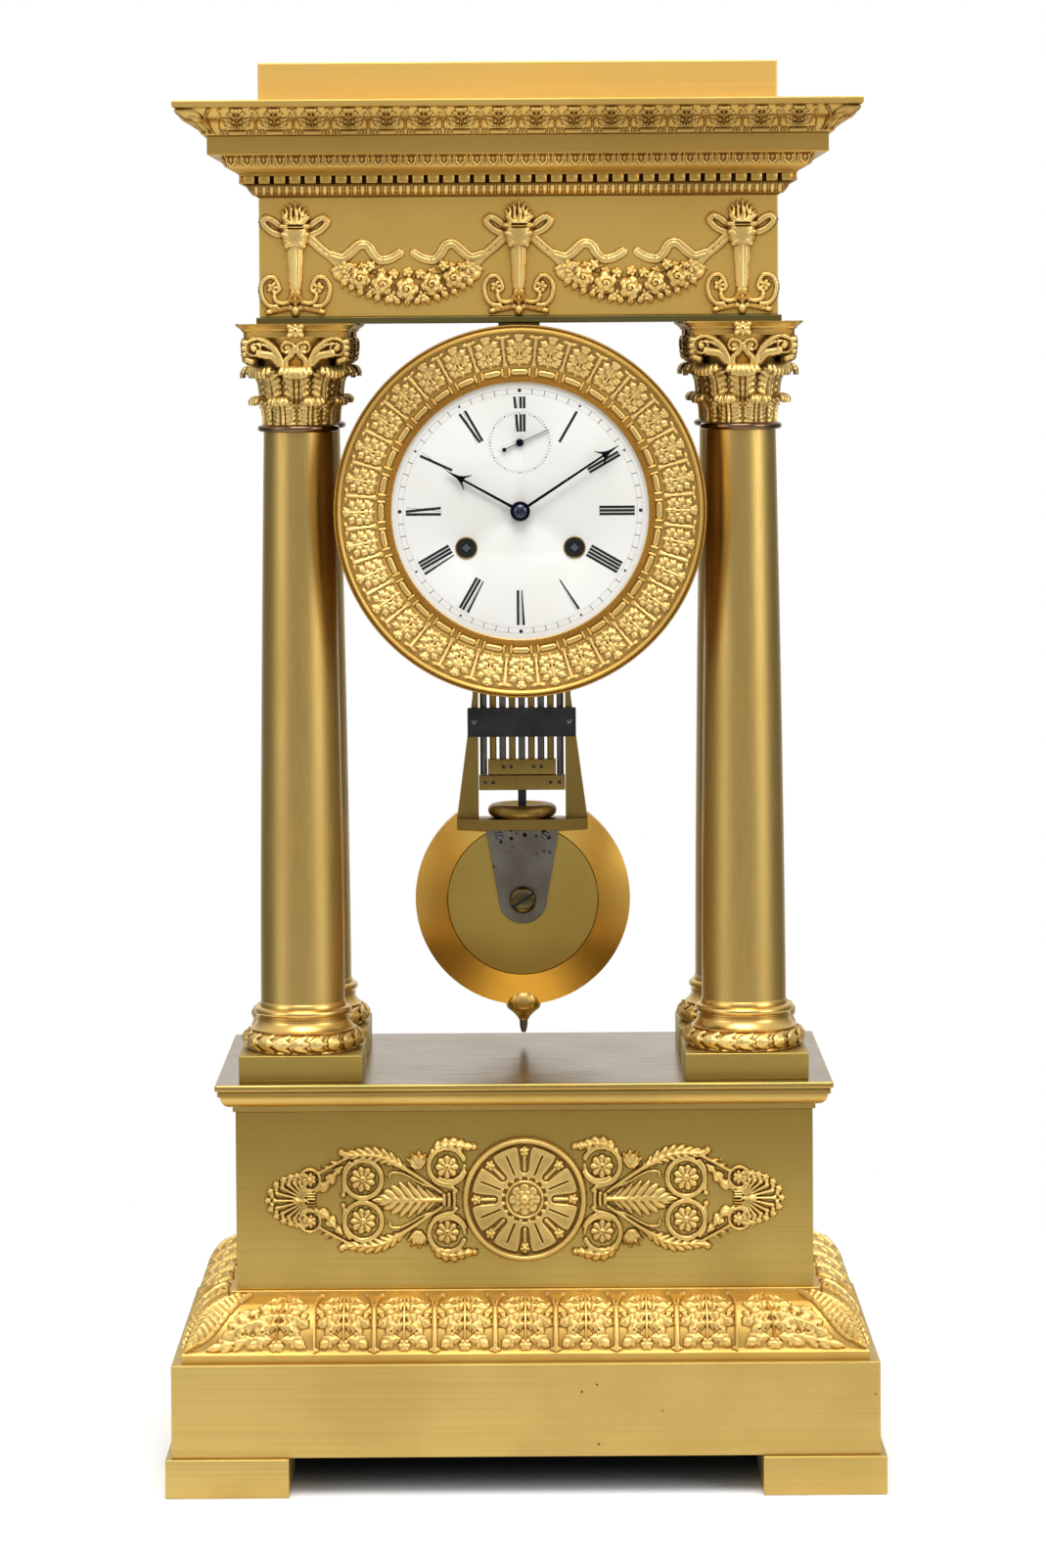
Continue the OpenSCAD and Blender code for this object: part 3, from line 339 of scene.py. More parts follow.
def cut_out(piece, low, high):
    """Takes a block out of a piece."""
    cutter = slab("cutter", low, high, 0.01, 1)
    modifier = piece.modifiers.new("cut", "BOOLEAN")
    modifier.operation = "DIFFERENCE"
    modifier.solver = "EXACT"
    modifier.object = cutter
    settled(piece, modifier)
    drop(cutter)
    return tidy_mesh(piece)


# Repeats: one tree for a straight row and one for a ring, both with named inputs


def link_up(tree, *links):
    """Links nodes; each link is (from node, its output, to node, its input)."""
    for source, out, target, into in links:
        tree.links.new(source.outputs[out], target.inputs[into])


def repeat_tree(name, **sockets):
    """A tree with a tile, a count, a finish and further named inputs, ending in real, painted copies."""
    tree = bpy.data.node_groups.new(name, "GeometryNodeTree")
    tree.interface.new_socket("Geometry", in_out="OUTPUT", socket_type="NodeSocketGeometry")
    for label, kind in {"Tile": "Object", "Count": "Int", "Finish": "Material", **sockets}.items():
        tree.interface.new_socket(label, in_out="INPUT", socket_type="NodeSocket" + kind)
    start, end = (tree.nodes.new("NodeGroup" + kind) for kind in ("Input", "Output"))
    line, tile, place, real, paint = (tree.nodes.new("GeometryNode" + kind) for kind in (
        "MeshLine", "ObjectInfo", "InstanceOnPoints", "RealizeInstances", "SetMaterial"))
    link_up(tree, (start, "Count", line, "Count"), (start, "Tile", tile, "Object"),
            (line, "Mesh", place, "Points"), (tile, "Geometry", place, "Instance"),
            (place, "Instances", real, "Geometry"), (real, "Geometry", paint, "Geometry"),
            (start, "Finish", paint, "Material"), (paint, "Geometry", end, "Geometry"))
    return tree, start, line, place


def make_row_tree():
    tree, start, line, place = repeat_tree("tiles_in_a_row", Start="Vector", Step="Vector", Turn="Vector")
    link_up(tree, (start, "Start", line, "Start Location"), (start, "Step", line, "Offset"),
            (start, "Turn", place, "Rotation"))
    return tree


def make_ring_tree():
    """Each tile is turned a share of a whole turn further than the one before it."""
    tree, start, line, place = repeat_tree("tiles_in_a_ring", Centre="Vector", Axis="Vector", Phase="Float")
    line.inputs["Offset"].default_value = (0, 0, 0)
    index = tree.nodes.new("GeometryNodeInputIndex")
    share = tree.nodes.new("ShaderNodeMath")
    share.operation = "DIVIDE"
    angle = tree.nodes.new("ShaderNodeMath")
    angle.operation = "MULTIPLY_ADD"
    angle.inputs[1].default_value = TAU
    turn = tree.nodes.new("FunctionNodeAxisAngleToRotation")
    link_up(tree, (start, "Centre", line, "Start Location"), (index, "Index", share, 0),
            (start, "Count", share, 1), (share, 0, angle, 0), (start, "Phase", angle, 2),
            (start, "Axis", turn, "Axis"), (angle, 0, turn, "Angle"), (turn, "Rotation", place, "Rotation"))
    return tree


ROW_TREE = make_row_tree()
RING_TREE = make_ring_tree()


def in_metres(point):
    return tuple(np.asarray(point, float) * MM)


def repeated(name, tree, tile, count, finish, **values):
    """Runs a repeat tree once and keeps the result as a plain mesh piece."""
    piece = new_piece(name, bpy.data.meshes.new(name))
    modifier = piece.modifiers.new("repeat", "NODES")
    modifier.node_group = tree
    ids = {s.name: s.identifier for s in tree.interface.items_tree if s.in_out == "INPUT"}
    for label, value in {"Tile": tile, "Count": int(count), "Finish": finish, **values}.items():
        modifier[ids[label]] = value
    return settled(piece, modifier)


def row(name, tile, count, finish, start, step, turn=0.0):
    """Copies of a tile along a line, each turned by an angle in degrees about the upright axis."""
    return repeated(name, ROW_TREE, tile, count, finish, Start=in_metres(start), Step=in_metres(step),
                    Turn=(0.0, 0.0, math.radians(turn)))


def ring(name, tile, count, finish, centre, axis=FACING, phase=0.0):
    """Copies of a tile around an axis; the first is turned by a phase in degrees."""
    return repeated(name, RING_TREE, tile, count, finish, Centre=in_metres(centre),
                    Axis=tuple(float(a) for a in axis), Phase=math.radians(phase))


# Shader helpers


class Value:
    """A shader value; arithmetic on it adds Math nodes."""

    def __init__(self, nodes, socket):
        self.nodes = nodes
        self.socket = socket

    def math(self, operation, first, second):
        return self.nodes.node("Math", {"operation": operation}, {0: first, 1: second})

    def __add__(self, other):
        return self.math("ADD", self, other)

    def __sub__(self, other):
        return self.math("SUBTRACT", self, other)

    def __rsub__(self, other):
        return self.math("SUBTRACT", other, self)

    def __mul__(self, other):
        return self.math("MULTIPLY", self, other)

    __radd__ = __add__
    __rmul__ = __mul__

    def above(self, low, high):
        """0 below low, 1 above high, smooth between."""
        return self.nodes.node("MapRange", {"interpolation_type": "SMOOTHSTEP"},
                               {"Value": self, "From Min": low, "From Max": high})


class Nodes:
    """A shader's node tree under construction."""

    def __init__(self, tree):
        self.tree = tree

    def node(self, kind, settings=None, sockets=None, out=0):
        """Adds a node: its settings first, then the values or links of its sockets."""
        made = self.tree.nodes.new("ShaderNode" + kind)
        for key, value in (settings or {}).items():
            setattr(made, key, value)
        for key, value in (sockets or {}).items():
            self.put(made.inputs[key], value)
        return Value(self, made.outputs[out])

    def put(self, socket, value):
        if isinstance(value, Value):
            self.tree.links.new(value.socket, socket)
        else:
            socket.default_value = value

    def axis(self, vector, label):
        """One of a vector's three measures."""
        return self.node("SeparateXYZ", {}, {0: vector}, out=label)


class Finish(Nodes):
    """A material under construction, with its main shader."""

    def __init__(self, name):
        self.material = bpy.data.materials.new(name)
        self.material.use_nodes = True
        super().__init__(self.material.node_tree)
        self.shader = self.tree.nodes["Principled BSDF"]
        self.place = self.node("TexCoord", out="Object")

    def set(self, **sockets):
        """Sets sockets of the main shader, named with _ for spaces."""
        for key, value in sockets.items():
            self.put(self.shader.inputs[key.replace("_", " ")], value)

    def noise(self, scale, detail, stretch=(1, 1, 1)):
        """Noise in object space; stretch squeezes it along an axis."""
        where = self.node("Mapping", {}, {"Vector": self.place, "Scale": tuple(scale * s for s in stretch)})
        return self.node("TexNoise", {}, {"Vector": where, "Scale": 1.0, "Detail": detail})

    def blend(self, factor, low, high):
        """A colour between two colours."""
        return self.node("Mix", {"data_type": "RGBA"}, {"Factor": factor, 6: low, 7: high}, out=2)

    def bump(self, height, strength, distance=0.0002):
        return self.node("Bump", {}, {"Height": height, "Strength": strength, "Distance": distance})

    def wear(self):
        """The piece's own measure of raised and hollow places; carved finishes darken the hollows with it,
        as patina and painted shade.
        """
        return self.node("Attribute", {"attribute_name": "wear"}, {}, out="Fac")

    def pits(self, scale, size):
        """Small scattered dark dots, 1 at a dot."""
        cells = self.node("TexVoronoi", {}, {"Vector": self.place, "Scale": scale})
        spare = self.node("TexNoise", {}, {"Vector": self.place, "Scale": scale * 0.13, "Detail": 1.0})
        return (1 - cells.above(size * 0.6, size)) * spare.above(0.52, 0.6)


def srgb(r, g, b):
    """A linear colour from screen values of 0 to 255."""
    def lin(v):
        v /= 255
        return v / 12.92 if v <= 0.04045 else ((v + 0.055) / 1.055) ** 2.4
    return (lin(r), lin(g), lin(b), 1.0)


# Finishes

ACROSS = (5, 1900, 1900)
EVEN = (60, 60, 60)
DIRT = (58, 44, 22)
RUST = (38, 26, 18)


def mixed(a, b, share):
    """A screen colour between two screen colours."""
    return tuple(x + (y - x) * share for x, y in zip(a, b))


def gilt_metal(name, colour, deep, rough=0.36, brush=None, carved=False, specks=0.0, shade_and_tarnish=None):
    """Gilded bronze: soft patches, a grain, and hollows darkened by patina and painted shade; the last
    argument is (from, to, share) up its height, where painted shade and tarnish darken it towards the top.
    """
    f = Finish(name)
    drift = f.noise(19, 4).above(0.34, 0.7)
    tone = f.blend(drift * 0.6, srgb(*colour), srgb(*mixed(colour, deep, 0.42)))
    if brush:
        grain = f.noise(1.0, 3, brush)
        tone = f.blend(grain.above(0.35, 0.75) * 0.4, tone, srgb(*mixed(colour, deep, 0.5)))
        bump = f.bump(grain, 0.07)
        gloss = rough + (grain - 0.5) * 0.22
    else:
        grain = f.noise(1500, 2)
        bump = f.bump(grain, 0.16)
        gloss = rough + (grain - 0.5) * 0.16
    gloss = gloss + (drift - 0.4) * 0.06
    # Hollows take the deep colour, partly patina and partly painted shade where shade would fall, and are
    # duller.
    if carved:
        hollow = 1 - f.wear().above(0.0, 0.62)
        tone = f.blend(hollow * 0.92, tone, srgb(*deep))
        gloss = gloss + hollow * 0.16
    # Painted shade with some tarnish: the colour darkens towards the top of the given height band.
    if shade_and_tarnish:
        low, high, share = shade_and_tarnish
        tone = f.blend(f.axis(f.place, "Z").above(low * MM, high * MM) * share, tone, srgb(*deep))
    if specks:
        spots = f.pits(75, specks)
        tone = f.blend(spots * 0.85, tone, srgb(*DIRT))
        gloss = gloss + spots * 0.3
    f.set(Base_Color=tone, Metallic=1.0, Roughness=gloss, Normal=bump)
    return f.material


def plain_metal(name, colour, spot, rough, specks=0.0):
    """Brass or steel with faint tarnish and, where asked, small rust pits."""
    f = Finish(name)
    cloud = f.noise(60, 4).above(0.35, 0.7)
    fine = f.noise(900, 2)
    tone = f.blend(cloud * 0.6, srgb(*colour), srgb(*spot))
    gloss = rough + (fine - 0.5) * 0.2 + cloud * 0.08
    if specks:
        spots = f.pits(260, specks)
        tone = f.blend(spots, tone, srgb(*RUST))
        gloss = gloss + spots * 0.35
    f.set(Base_Color=tone, Metallic=1.0, Roughness=gloss, Normal=f.bump(fine, 0.12))
    return f.material


def fired_enamel():
    """White dial enamel: nearly even, with a faint warm cloud and slight ripples."""
    f = Finish("dial_enamel")
    cloud = f.noise(35, 3).above(0.3, 0.75)
    ripple = f.noise(160, 2)
    tone = f.blend(cloud, srgb(243, 242, 237), srgb(238, 237, 230))
    f.set(Base_Color=tone, Roughness=0.16 + cloud * 0.06, Normal=f.bump(ripple, 0.02, 0.0003))
    return f.material


def dial_black():
    """Black dial paint, a little uneven."""
    f = Finish("dial_black")
    fine = f.noise(700, 3)
    tone = f.blend(fine.above(0.4, 0.8) * 0.5, srgb(14, 14, 16), srgb(34, 33, 34))
    f.set(Base_Color=tone, Roughness=0.3 + fine * 0.2)
    return f.material


# The carved finishes darken the hollows of their relief: patina, and painted shade.
ORNAMENT = gilt_metal("carved_gilt", (242, 210, 134), (132, 96, 42), 0.42, carved=True)
PANEL_CARVED = gilt_metal("panel_mount_gilt", (220, 188, 114), (118, 88, 38), 0.42, carved=True)
BEZEL_CARVED = gilt_metal("bezel_gilt", (238, 204, 128), (150, 114, 58), 0.4, carved=True)
PLINTH_CARVED = gilt_metal("plinth_leaf_gilt", (236, 202, 124), (156, 116, 54), 0.42, carved=True)
CYMA_CARVED = gilt_metal("cyma_leaf_gilt", (214, 178, 102), (104, 76, 32), 0.42, carved=True)
ORNAMENT_GROUND = gilt_metal("ornament_ground", (206, 170, 92), (150, 112, 48), 0.48)
LEAF_GROUND = gilt_metal("leaf_ground", (216, 180, 100), (156, 118, 52), 0.48)
# Darker gilt as painted shade: on the ground behind the eggs and on the drum case.
SHADE_GILT = gilt_metal("hollow_gilt", (156, 114, 50), (100, 68, 26), 0.52)
SHADOW = plain_metal("dark_gap", (58, 34, 16), (30, 16, 8), 0.6)
# The pedestal panel darkens towards its top: painted shade under the moulding, with some tarnish.
PANEL = gilt_metal("pedestal_gilt", (202, 173, 95), (138, 112, 50), 0.46, ACROSS, specks=0.05,
                   shade_and_tarnish=(92, 172, 0.65))
PLINTH_BLOCK = gilt_metal("plinth_block_gilt", (184, 158, 84), (138, 112, 50), 0.46, ACROSS, specks=0.05)
BASE = gilt_metal("base_gilt", (203, 175, 103), (160, 130, 63), 0.48, ACROSS, specks=0.05)
FRIEZE = gilt_metal("frieze_gilt", (222, 184, 100), (174, 136, 62), 0.48, ACROSS, specks=0.035)
ATTIC = gilt_metal("attic_gilt", (246, 206, 118), (204, 160, 80), 0.48, ACROSS, specks=0.035)
COURSE = gilt_metal("course_gilt", (206, 168, 90), (150, 114, 50), 0.4, (6, 900, 900))
SHAFT = gilt_metal("shaft_gilt", (207, 175, 103), (168, 132, 68), 0.36, (900, 900, 60))
MOULDING = gilt_metal("moulding_gilt", (200, 168, 94), (140, 108, 50), 0.32, (6, 900, 900))
BRIGHT = gilt_metal("burnished_gilt", (228, 190, 110), (184, 142, 66), 0.27, EVEN)
COLLAR = gilt_metal("collar_bronze", (132, 106, 80), (84, 60, 42), 0.16, EVEN)
STRIP = gilt_metal("tarnished_strip", (120, 110, 66), (64, 60, 38), 0.42, ACROSS, specks=0.1)
PLATE_TOP = gilt_metal("worn_plate", (162, 143, 104), (110, 96, 70), 0.22, (40, 900, 900), specks=0.09)
BAR_BRASS = gilt_metal("pendulum_brass", (164, 136, 72), (108, 86, 42), 0.36, (900, 900, 40), specks=0.05)
BOB_RING = gilt_metal("bob_ring_brass", (236, 194, 98), (190, 144, 62), 0.3, (6, 6, 6))
BOB_FACE = gilt_metal("bob_face_brass", (198, 170, 90), (152, 126, 60), 0.46)
ROD_BRASS = plain_metal("rod_brass", (168, 138, 72), (110, 88, 44), 0.34)
STEEL = plain_metal("worn_steel", (138, 132, 120), (94, 86, 74), 0.38, specks=0.34)
ROD_STEEL = plain_metal("rod_steel", (122, 120, 116), (76, 71, 66), 0.3)
DARK_STEEL = plain_metal("dark_steel", (74, 74, 76), (44, 42, 42), 0.34)
BLUED = plain_metal("blued_steel", (26, 27, 38), (13, 13, 18), 0.24)
POLISHED_STEEL = plain_metal("polished_dark_steel", (66, 71, 84), (40, 42, 50), 0.2)
ARBOR_STEEL = plain_metal("arbor_steel", (118, 122, 132), (84, 86, 94), 0.3)
SCREW_BRASS = plain_metal("screw_brass", (120, 104, 70), (70, 60, 42), 0.12)
# A near-black finish standing for the shade under the base.
SHADE_BOARD = plain_metal("dark_underside", (14, 12, 11), (9, 8, 7), 0.7)
WHEEL_BRASS = plain_metal("wheel_brass", (206, 166, 84), (158, 120, 54), 0.3)
ENAMEL = fired_enamel()
INK = dial_black()


# Camera, floor and light

VIEW_FROM = (0.0013, -2.158, 0.525)
VIEW_TILT = math.radians(2.1)
VIEW_ROLL = math.radians(-0.37)
LIT_SPOT = (0, 0, 0.35)


def set_camera():
    """The camera stands level with the dial's top, slightly tilted, with the frame shifted down."""
    lens = bpy.data.cameras.new("camera")
    lens.lens = 106.0
    lens.sensor_width = 36
    lens.shift_y = -0.1789
    lens.clip_end = 50
    camera = bpy.data.objects.new("camera", lens)
    aim = Matrix.Rotation(math.pi / 2 - VIEW_TILT, 4, "X")
    camera.matrix_world = Matrix.Translation(VIEW_FROM) @ aim @ Matrix.Rotation(VIEW_ROLL, 4, "Z")
    bpy.context.scene.collection.objects.link(camera)
    bpy.context.scene.camera = camera


def set_floor():
    """A pale round floor with a painted shadow under the clock, that fades out so that no edge shows behind
    it.
    """
    f = Finish("pale_floor")
    away = f.node("VectorMath", {"operation": "LENGTH"}, {0: f.place}, out="Value")
    pale = f.blend(f.noise(3, 2).above(0.3, 0.7), srgb(249, 249, 249), srgb(246, 246, 246))
    across, along = f.axis(f.place, "X"), f.axis(f.place, "Y")
    # A painted shadow: the floor turns dark grey within the clock's footprint, with soft edges.
    painted_shadow = (1 - (across * across).above(0.0196, 0.0256)) * (along + 1).above(0.925, 0.99)
    tone = f.blend(painted_shadow * (1 - along.above(0.07, 0.09)), pale, srgb(40, 40, 42))
    f.set(Base_Color=tone, Roughness=0.9, Specular_IOR_Level=0.1)
    gone = f.node("BsdfTransparent")
    solid = Value(f, f.shader.outputs[0])
    mix = f.node("MixShader", {}, {0: away.above(0.28, 0.62), 1: solid, 2: gone})
    f.put(f.tree.nodes["Material Output"].inputs["Surface"], mix)
    floor = lathe("floor", [(0, -3), (900, -3), (900, -0.05), (0, -0.05)], (0, 0, 0), turns=64)
    floor.data.materials.append(f.material)


def set_lamp(name, place, power, size):
    """A large soft lamp that shines on the clock."""
    lamp = bpy.data.lights.new(name, "AREA")
    lamp.energy = power
    lamp.size = size
    piece = bpy.data.objects.new(name, lamp)
    piece.location = place
    piece.rotation_euler = (Vector(LIT_SPOT) - Vector(place)).to_track_quat("-Z", "Y").to_euler()
    bpy.context.scene.collection.objects.link(piece)


def set_world():
    """White to the camera; the light itself comes mostly from above and from both sides of the camera."""
    world = bpy.data.worlds.new("studio")
    bpy.context.scene.world = world
    world.use_nodes = True
    w = Nodes(world.node_tree)
    way = w.node("TexCoord", out="Generated")
    x, y, z = (w.axis(way, label) for label in "XYZ")
    front = (0 - y).above(-0.1, 0.6)
    above = z.above(0.0, 0.9)
    beside = (x * x).above(0.25, 0.75)
    behind = y.above(0.7, 0.95)
    below = (0 - z).above(0.08, 0.4)
    room = 0.2 + front * 0.17 + above * 0.75 + front * beside * 0.5 + behind * 0.6 + front * below * 0.38
    seen, shiny, through = (w.node("LightPath", out="Is %s Ray" % kind)
                            for kind in ("Camera", "Glossy", "Transmission"))
    soft = 1 - seen - shiny - through
    back = w.tree.nodes["Background"]
    back.inputs["Color"].default_value = (1, 1, 1, 1)
    w.put(back.inputs["Strength"], seen + through + shiny * room + soft * (0.26 + above * 0.85))


set_camera()
set_floor()
set_world()
set_lamp("lamp_front", (0, -1.05, 2.6), 48, 1.6)
set_lamp("lamp_left", (-2.2, -1.6, 1.2), 8, 1.3)
set_lamp("lamp_right", (2.2, -1.6, 1.2), 21, 1.3)
bpy.context.scene.view_settings.view_transform = "Standard"


# Carving: raised ornament drawn with simple tools on an even grid of heights


class Carving:
    """A sheet of heights over (u, v), in millimetres; each tool raises it, except cut and hole."""

    LOWEST = 0.03

    def __init__(self, left, right, low, high, step):
        self.u = np.linspace(left, right, int(round((right - left) / step)) + 1)
        self.v = np.linspace(low, high, int(round((high - low) / step)) + 1)
        self.h = np.zeros((len(self.u), len(self.v)))

    def grid(self):
        return np.meshgrid(self.u, self.v, indexing="ij")

    def window(self, low, high):
        """The part of the sheet between two corners, with its u and v."""
        i0, i1 = np.searchsorted(self.u, [low[0], high[0]])
        j0, j1 = np.searchsorted(self.v, [low[1], high[1]])
        where = (slice(i0, i1), slice(j0, j1))
        return where, *np.meshgrid(self.u[i0:i1], self.v[j0:j1], indexing="ij")

    def near(self, path, reach):
        """Around a path: the distance to it and the share of it passed."""
        p = np.asarray(path, float)
        where, u, v = self.window(p.min(0) - reach, p.max(0) + reach)
        far, share = np.full(u.shape, 1e9), np.zeros(u.shape)
        runs = np.linalg.norm(np.diff(p, axis=0), axis=1)
        done = 0.0
        for a, b, n in zip(p[:-1], p[1:], runs):
            d = (b - a) / max(n, 1e-9)
            along = np.clip((u - a[0]) * d[0] + (v - a[1]) * d[1], 0, n)
            gap = np.hypot(u - a[0] - along * d[0], v - a[1] - along * d[1])
            closer = gap < far
            far = np.where(closer, gap, far)
            share = np.where(closer, (done + along) / runs.sum(), share)
            done += n
        return where, far, share

    def raise_to(self, where, height):
        self.h[where] = np.maximum(self.h[where], height)

    def stroke(self, path, width, height, ends=(1.0, 1.0), base=0.0):
        """A raised round line; ends scale its width and height at its start and finish."""
        where, far, share = self.near(path, width)
        scale = ends[0] + (ends[1] - ends[0]) * share
        x = np.clip(far / np.maximum(width / 2 * scale, 1e-6), 0, 1)
        rise = (base + height * np.sqrt(1 - x ** 3)) * (0.5 + 0.5 * scale)
        self.raise_to(where, np.where(x < 1, rise, 0))

    def cut(self, path, width, depth, floor=0.15):
        """A groove."""
        where, far, _ = self.near(path, width)
        x = np.clip(far / (width / 2), 0, 1)
        self.h[where] = np.where((x < 1) & (self.h[where] > floor),
                                 np.maximum(self.h[where] - depth * (1 - x ** 2), floor), self.h[where])

    def hole(self, u, v, r, floor=0.12):
        """A drilled eye."""
        where, gu, gv = self.window((u - r, v - r), (u + r, v + r))
        x = np.hypot(gu - u, gv - v) / r
        self.h[where] = np.where(x < 1, np.minimum(self.h[where], floor + 2.0 * x ** 4), self.h[where])

    def dome(self, u, v, r, height, base=0.0, squash=1.0, turn=0.0):
        """A rounded bead, or an oval one turned by an angle in degrees."""
        where, gu, gv = self.window((u - r, v - r), (u + r, v + r))
        c, s = math.cos(math.radians(turn)), math.sin(math.radians(turn))
        a, b = (gu - u) * c + (gv - v) * s, (gv - v) * c - (gu - u) * s
        x = np.clip(np.hypot(a / r, b / (r * squash)), 0, 1)
        self.raise_to(where, np.where(x < 1, base + height * np.sqrt(1 - x ** 2), 0))

    def flower(self, u, v, r, petals, height, boss=0.3, phase=0.0, base=0.0):
        """A rosette of rounded petals with a boss."""
        where, gu, gv = self.window((u - r, v - r), (u + r, v + r))
        far = np.hypot(gu - u, gv - v) / r
        turn = np.arctan2(gv - v, gu - u) - math.radians(phase)
        petal = np.abs(np.cos(turn * petals / 2))
        edge = 0.78 + 0.22 * petal ** 0.7
        rounding = np.sqrt(np.clip(1 - (far / edge) ** 4, 0, 1))
        body = (0.45 + 0.55 * petal ** 0.8) * rounding * (0.55 + 0.45 * far)
        eye = np.where(far < boss, np.sqrt(np.clip(1 - (far / boss) ** 2, 0, 1)) * 0.75 + 0.25, 0)
        self.raise_to(where, np.where(far < edge, base + height * np.maximum(body, eye), 0))

    def leaf(self, path, width, height, lobes, depth, fullness=0.6, ends=(0.25, 0.0), sweep=0.5):
        """A lobed leaf along its rib: fingers swept forward, veins between them, a raised rib."""
        where, far, share = self.near(path, width)
        swell = ends[0] + (1 - ends[0]) * np.sin(share / fullness * math.pi / 2)
        taper = ends[1] + (1 - ends[1]) * np.cos((share - fullness) / (1 - fullness) * math.pi / 2)
        shape = np.where(share < fullness, swell, taper)
        half = np.maximum(width / 2 * shape, 1e-6)
        x = np.clip(far / half, 0, 1.2)
        finger = np.abs(np.sin(math.pi * (lobes * (share - sweep * x / lobes) + 0.5)))
        edge = 1 - depth * (1 - finger)
        body = np.sqrt(np.clip(1 - (x / edge) ** 2, 0, 1)) * (0.62 + 0.38 * finger)
        rib = 0.32 * np.clip(1 - far / (0.1 * width), 0, 1)
        rise = height * np.clip(body + rib, 0, 1.25) * (0.55 + 0.45 * shape)
        self.raise_to(where, np.where(x < edge, rise, 0))

    def blurred(self, reach):
        """The heights, softened by two running means along each axis."""
        soft, n = self.h, 2 * reach + 1
        for _ in range(4):
            total = np.cumsum(np.pad(soft, ((reach + 1, reach), (0, 0)), mode="edge"), axis=0)
            soft = ((total[n:] - total[:-n]) / n).T
        return soft

    def wear(self, contrast):
        """0 in hollows to 1 on ridges; carved finishes darken the hollows with it, as patina and painted
        shade.
        """
        steps = max(2, int(round(1.6 / (self.u[1] - self.u[0]))))
        return np.clip(0.42 + (self.h - self.blurred(steps)) / contrast, 0, 1)

    def solid(self, name, place, sunk=0.25, contrast=1.1, whole=False):
        """A closed piece from the raised places; place turns u, v and height into points."""
        up = self.h > self.LOWEST
        cell = up[:-1, :-1] | up[1:, :-1] | up[:-1, 1:] | up[1:, 1:]
        if whole:
            cell[:] = True
        rows, cols = self.h.shape
        i, j = np.nonzero(cell)
        at = lambda a, b: a * cols + b
        top = np.stack([at(i, j), at(i + 1, j), at(i + 1, j + 1), at(i, j + 1)], 1)
        under = top[:, ::-1] + rows * cols
        walls = []
        pad = np.pad(cell, 1)
        for (di, dj), (a, b) in {(-1, 0): ((0, 1), (0, 0)), (1, 0): ((1, 0), (1, 1)),
                                 (0, -1): ((0, 0), (1, 0)), (0, 1): ((1, 1), (0, 1))}.items():
            bare = ~pad[i + 1 + di, j + 1 + dj]
            p, q = (at(i[bare] + ci, j[bare] + cj) for ci, cj in (a, b))
            walls.append(np.stack([p, p + rows * cols, q + rows * cols, q], 1))
        u, v = (axis.ravel() for axis in self.grid())
        pts = np.concatenate([place(u, v, self.h.ravel()), place(u, v, np.full(u.size, -sunk))])
        tone = np.concatenate([self.wear(contrast).ravel(), np.zeros(u.size)])
        used, faces = np.unique(np.concatenate([top, under] + walls), return_inverse=True)
        piece = mesh_object(name, pts[used], faces.reshape(-1, 4), tone[used], 75)
        return tidy_mesh(piece, 0.0005, 75)


def on_ring(mean, ground):
    """Places a carving around a ring seen from the front: u runs along the mean radius, v is the radius."""
    return lambda u, v, h: np.stack([v * np.sin(u / mean), -ground(v) - h, v * np.cos(u / mean)], 1)


def on_wall(y, z, x=0.0, side=1):
    """Places a carving on a flat front: u runs to the right (1) or to the left (-1), v upwards."""
    return lambda u, v, h: np.stack([side * u + x, y - h, v + z], 1)


class Outline:
    """A moulding's outline, measured along its surface: projection, height and outward direction."""

    def __init__(self, points):
        self.p = np.asarray(points, float)
        self.s = np.concatenate([[0], np.cumsum(np.linalg.norm(np.diff(self.p, axis=0), axis=1))])
        self.length = self.s[-1]
        d = np.gradient(self.p, self.s, axis=0)
        d /= np.linalg.norm(d, axis=1)[:, None]
        self.out = np.stack([d[:, 1], -d[:, 0]], 1)

    def at(self, s, h):
        """Projection and height of a point lifted off the surface."""
        pick = lambda column: np.interp(s, self.s, column)
        return tuple(pick(self.p[:, k]) + h * pick(self.out[:, k]) for k in (0, 1))

    def straight(self, u, v, h):
        """Places a carving on the moulding, square to its run."""
        p, z = self.at(v, h)
        return np.stack([u, -p, z], 1)

    def corner(self, first, wall, mirror):
        """Places a carving from a start to the mitre: u of 0 to 1 stretches with the projection."""
        def place(u, v, h):
            p, z = self.at(v, h)
            return np.stack([mirror * (first + u * (wall + p - first)), -p, z], 1)
        return place

    def around(self, mean, lift=0.0):
        """Places a carving around an upright axis; u runs along the mean radius."""
        def place(u, v, h):
            r, z = self.at(v, h)
            return np.stack([r * np.sin(u / mean), -r * np.cos(u / mean), z + lift], 1)
        return place


# Case: blocks, courses and columns

COLUMN_R = 19.0
FOOT_W = 56.0
SHAFT_FOOT_R = 19.5
SHAFT_TAPER = 3.5


def sweep(name, width, front, back, profile):
    """A course around the front and both sides, mitred; its outline is (reach, height)."""
    line = np.asarray(profile, float)
    p, z = line[:, 0], line[:, 1]
    half, rear_y = width / 2, np.full_like(p, back)
    runs = [np.stack(run, 1) for run in ((-half - p, rear_y, z), (-half - p, front - p, z),
                                         (half + p, front - p, z), (half + p, rear_y, z))]
    n = len(p)
    caps = np.array([[0, n, 2 * n, 3 * n], [n - 1, 2 * n - 1, 3 * n - 1, 4 * n - 1]])
    rear = np.array([list(range(n)) + list(range(4 * n - 1, 3 * n - 1, -1))])
    piece = mesh_object(name, np.concatenate(runs), [grid_quads(4, n), caps, rear], smooth_angle=35)
    return tidy_mesh(piece, smooth_angle=35)


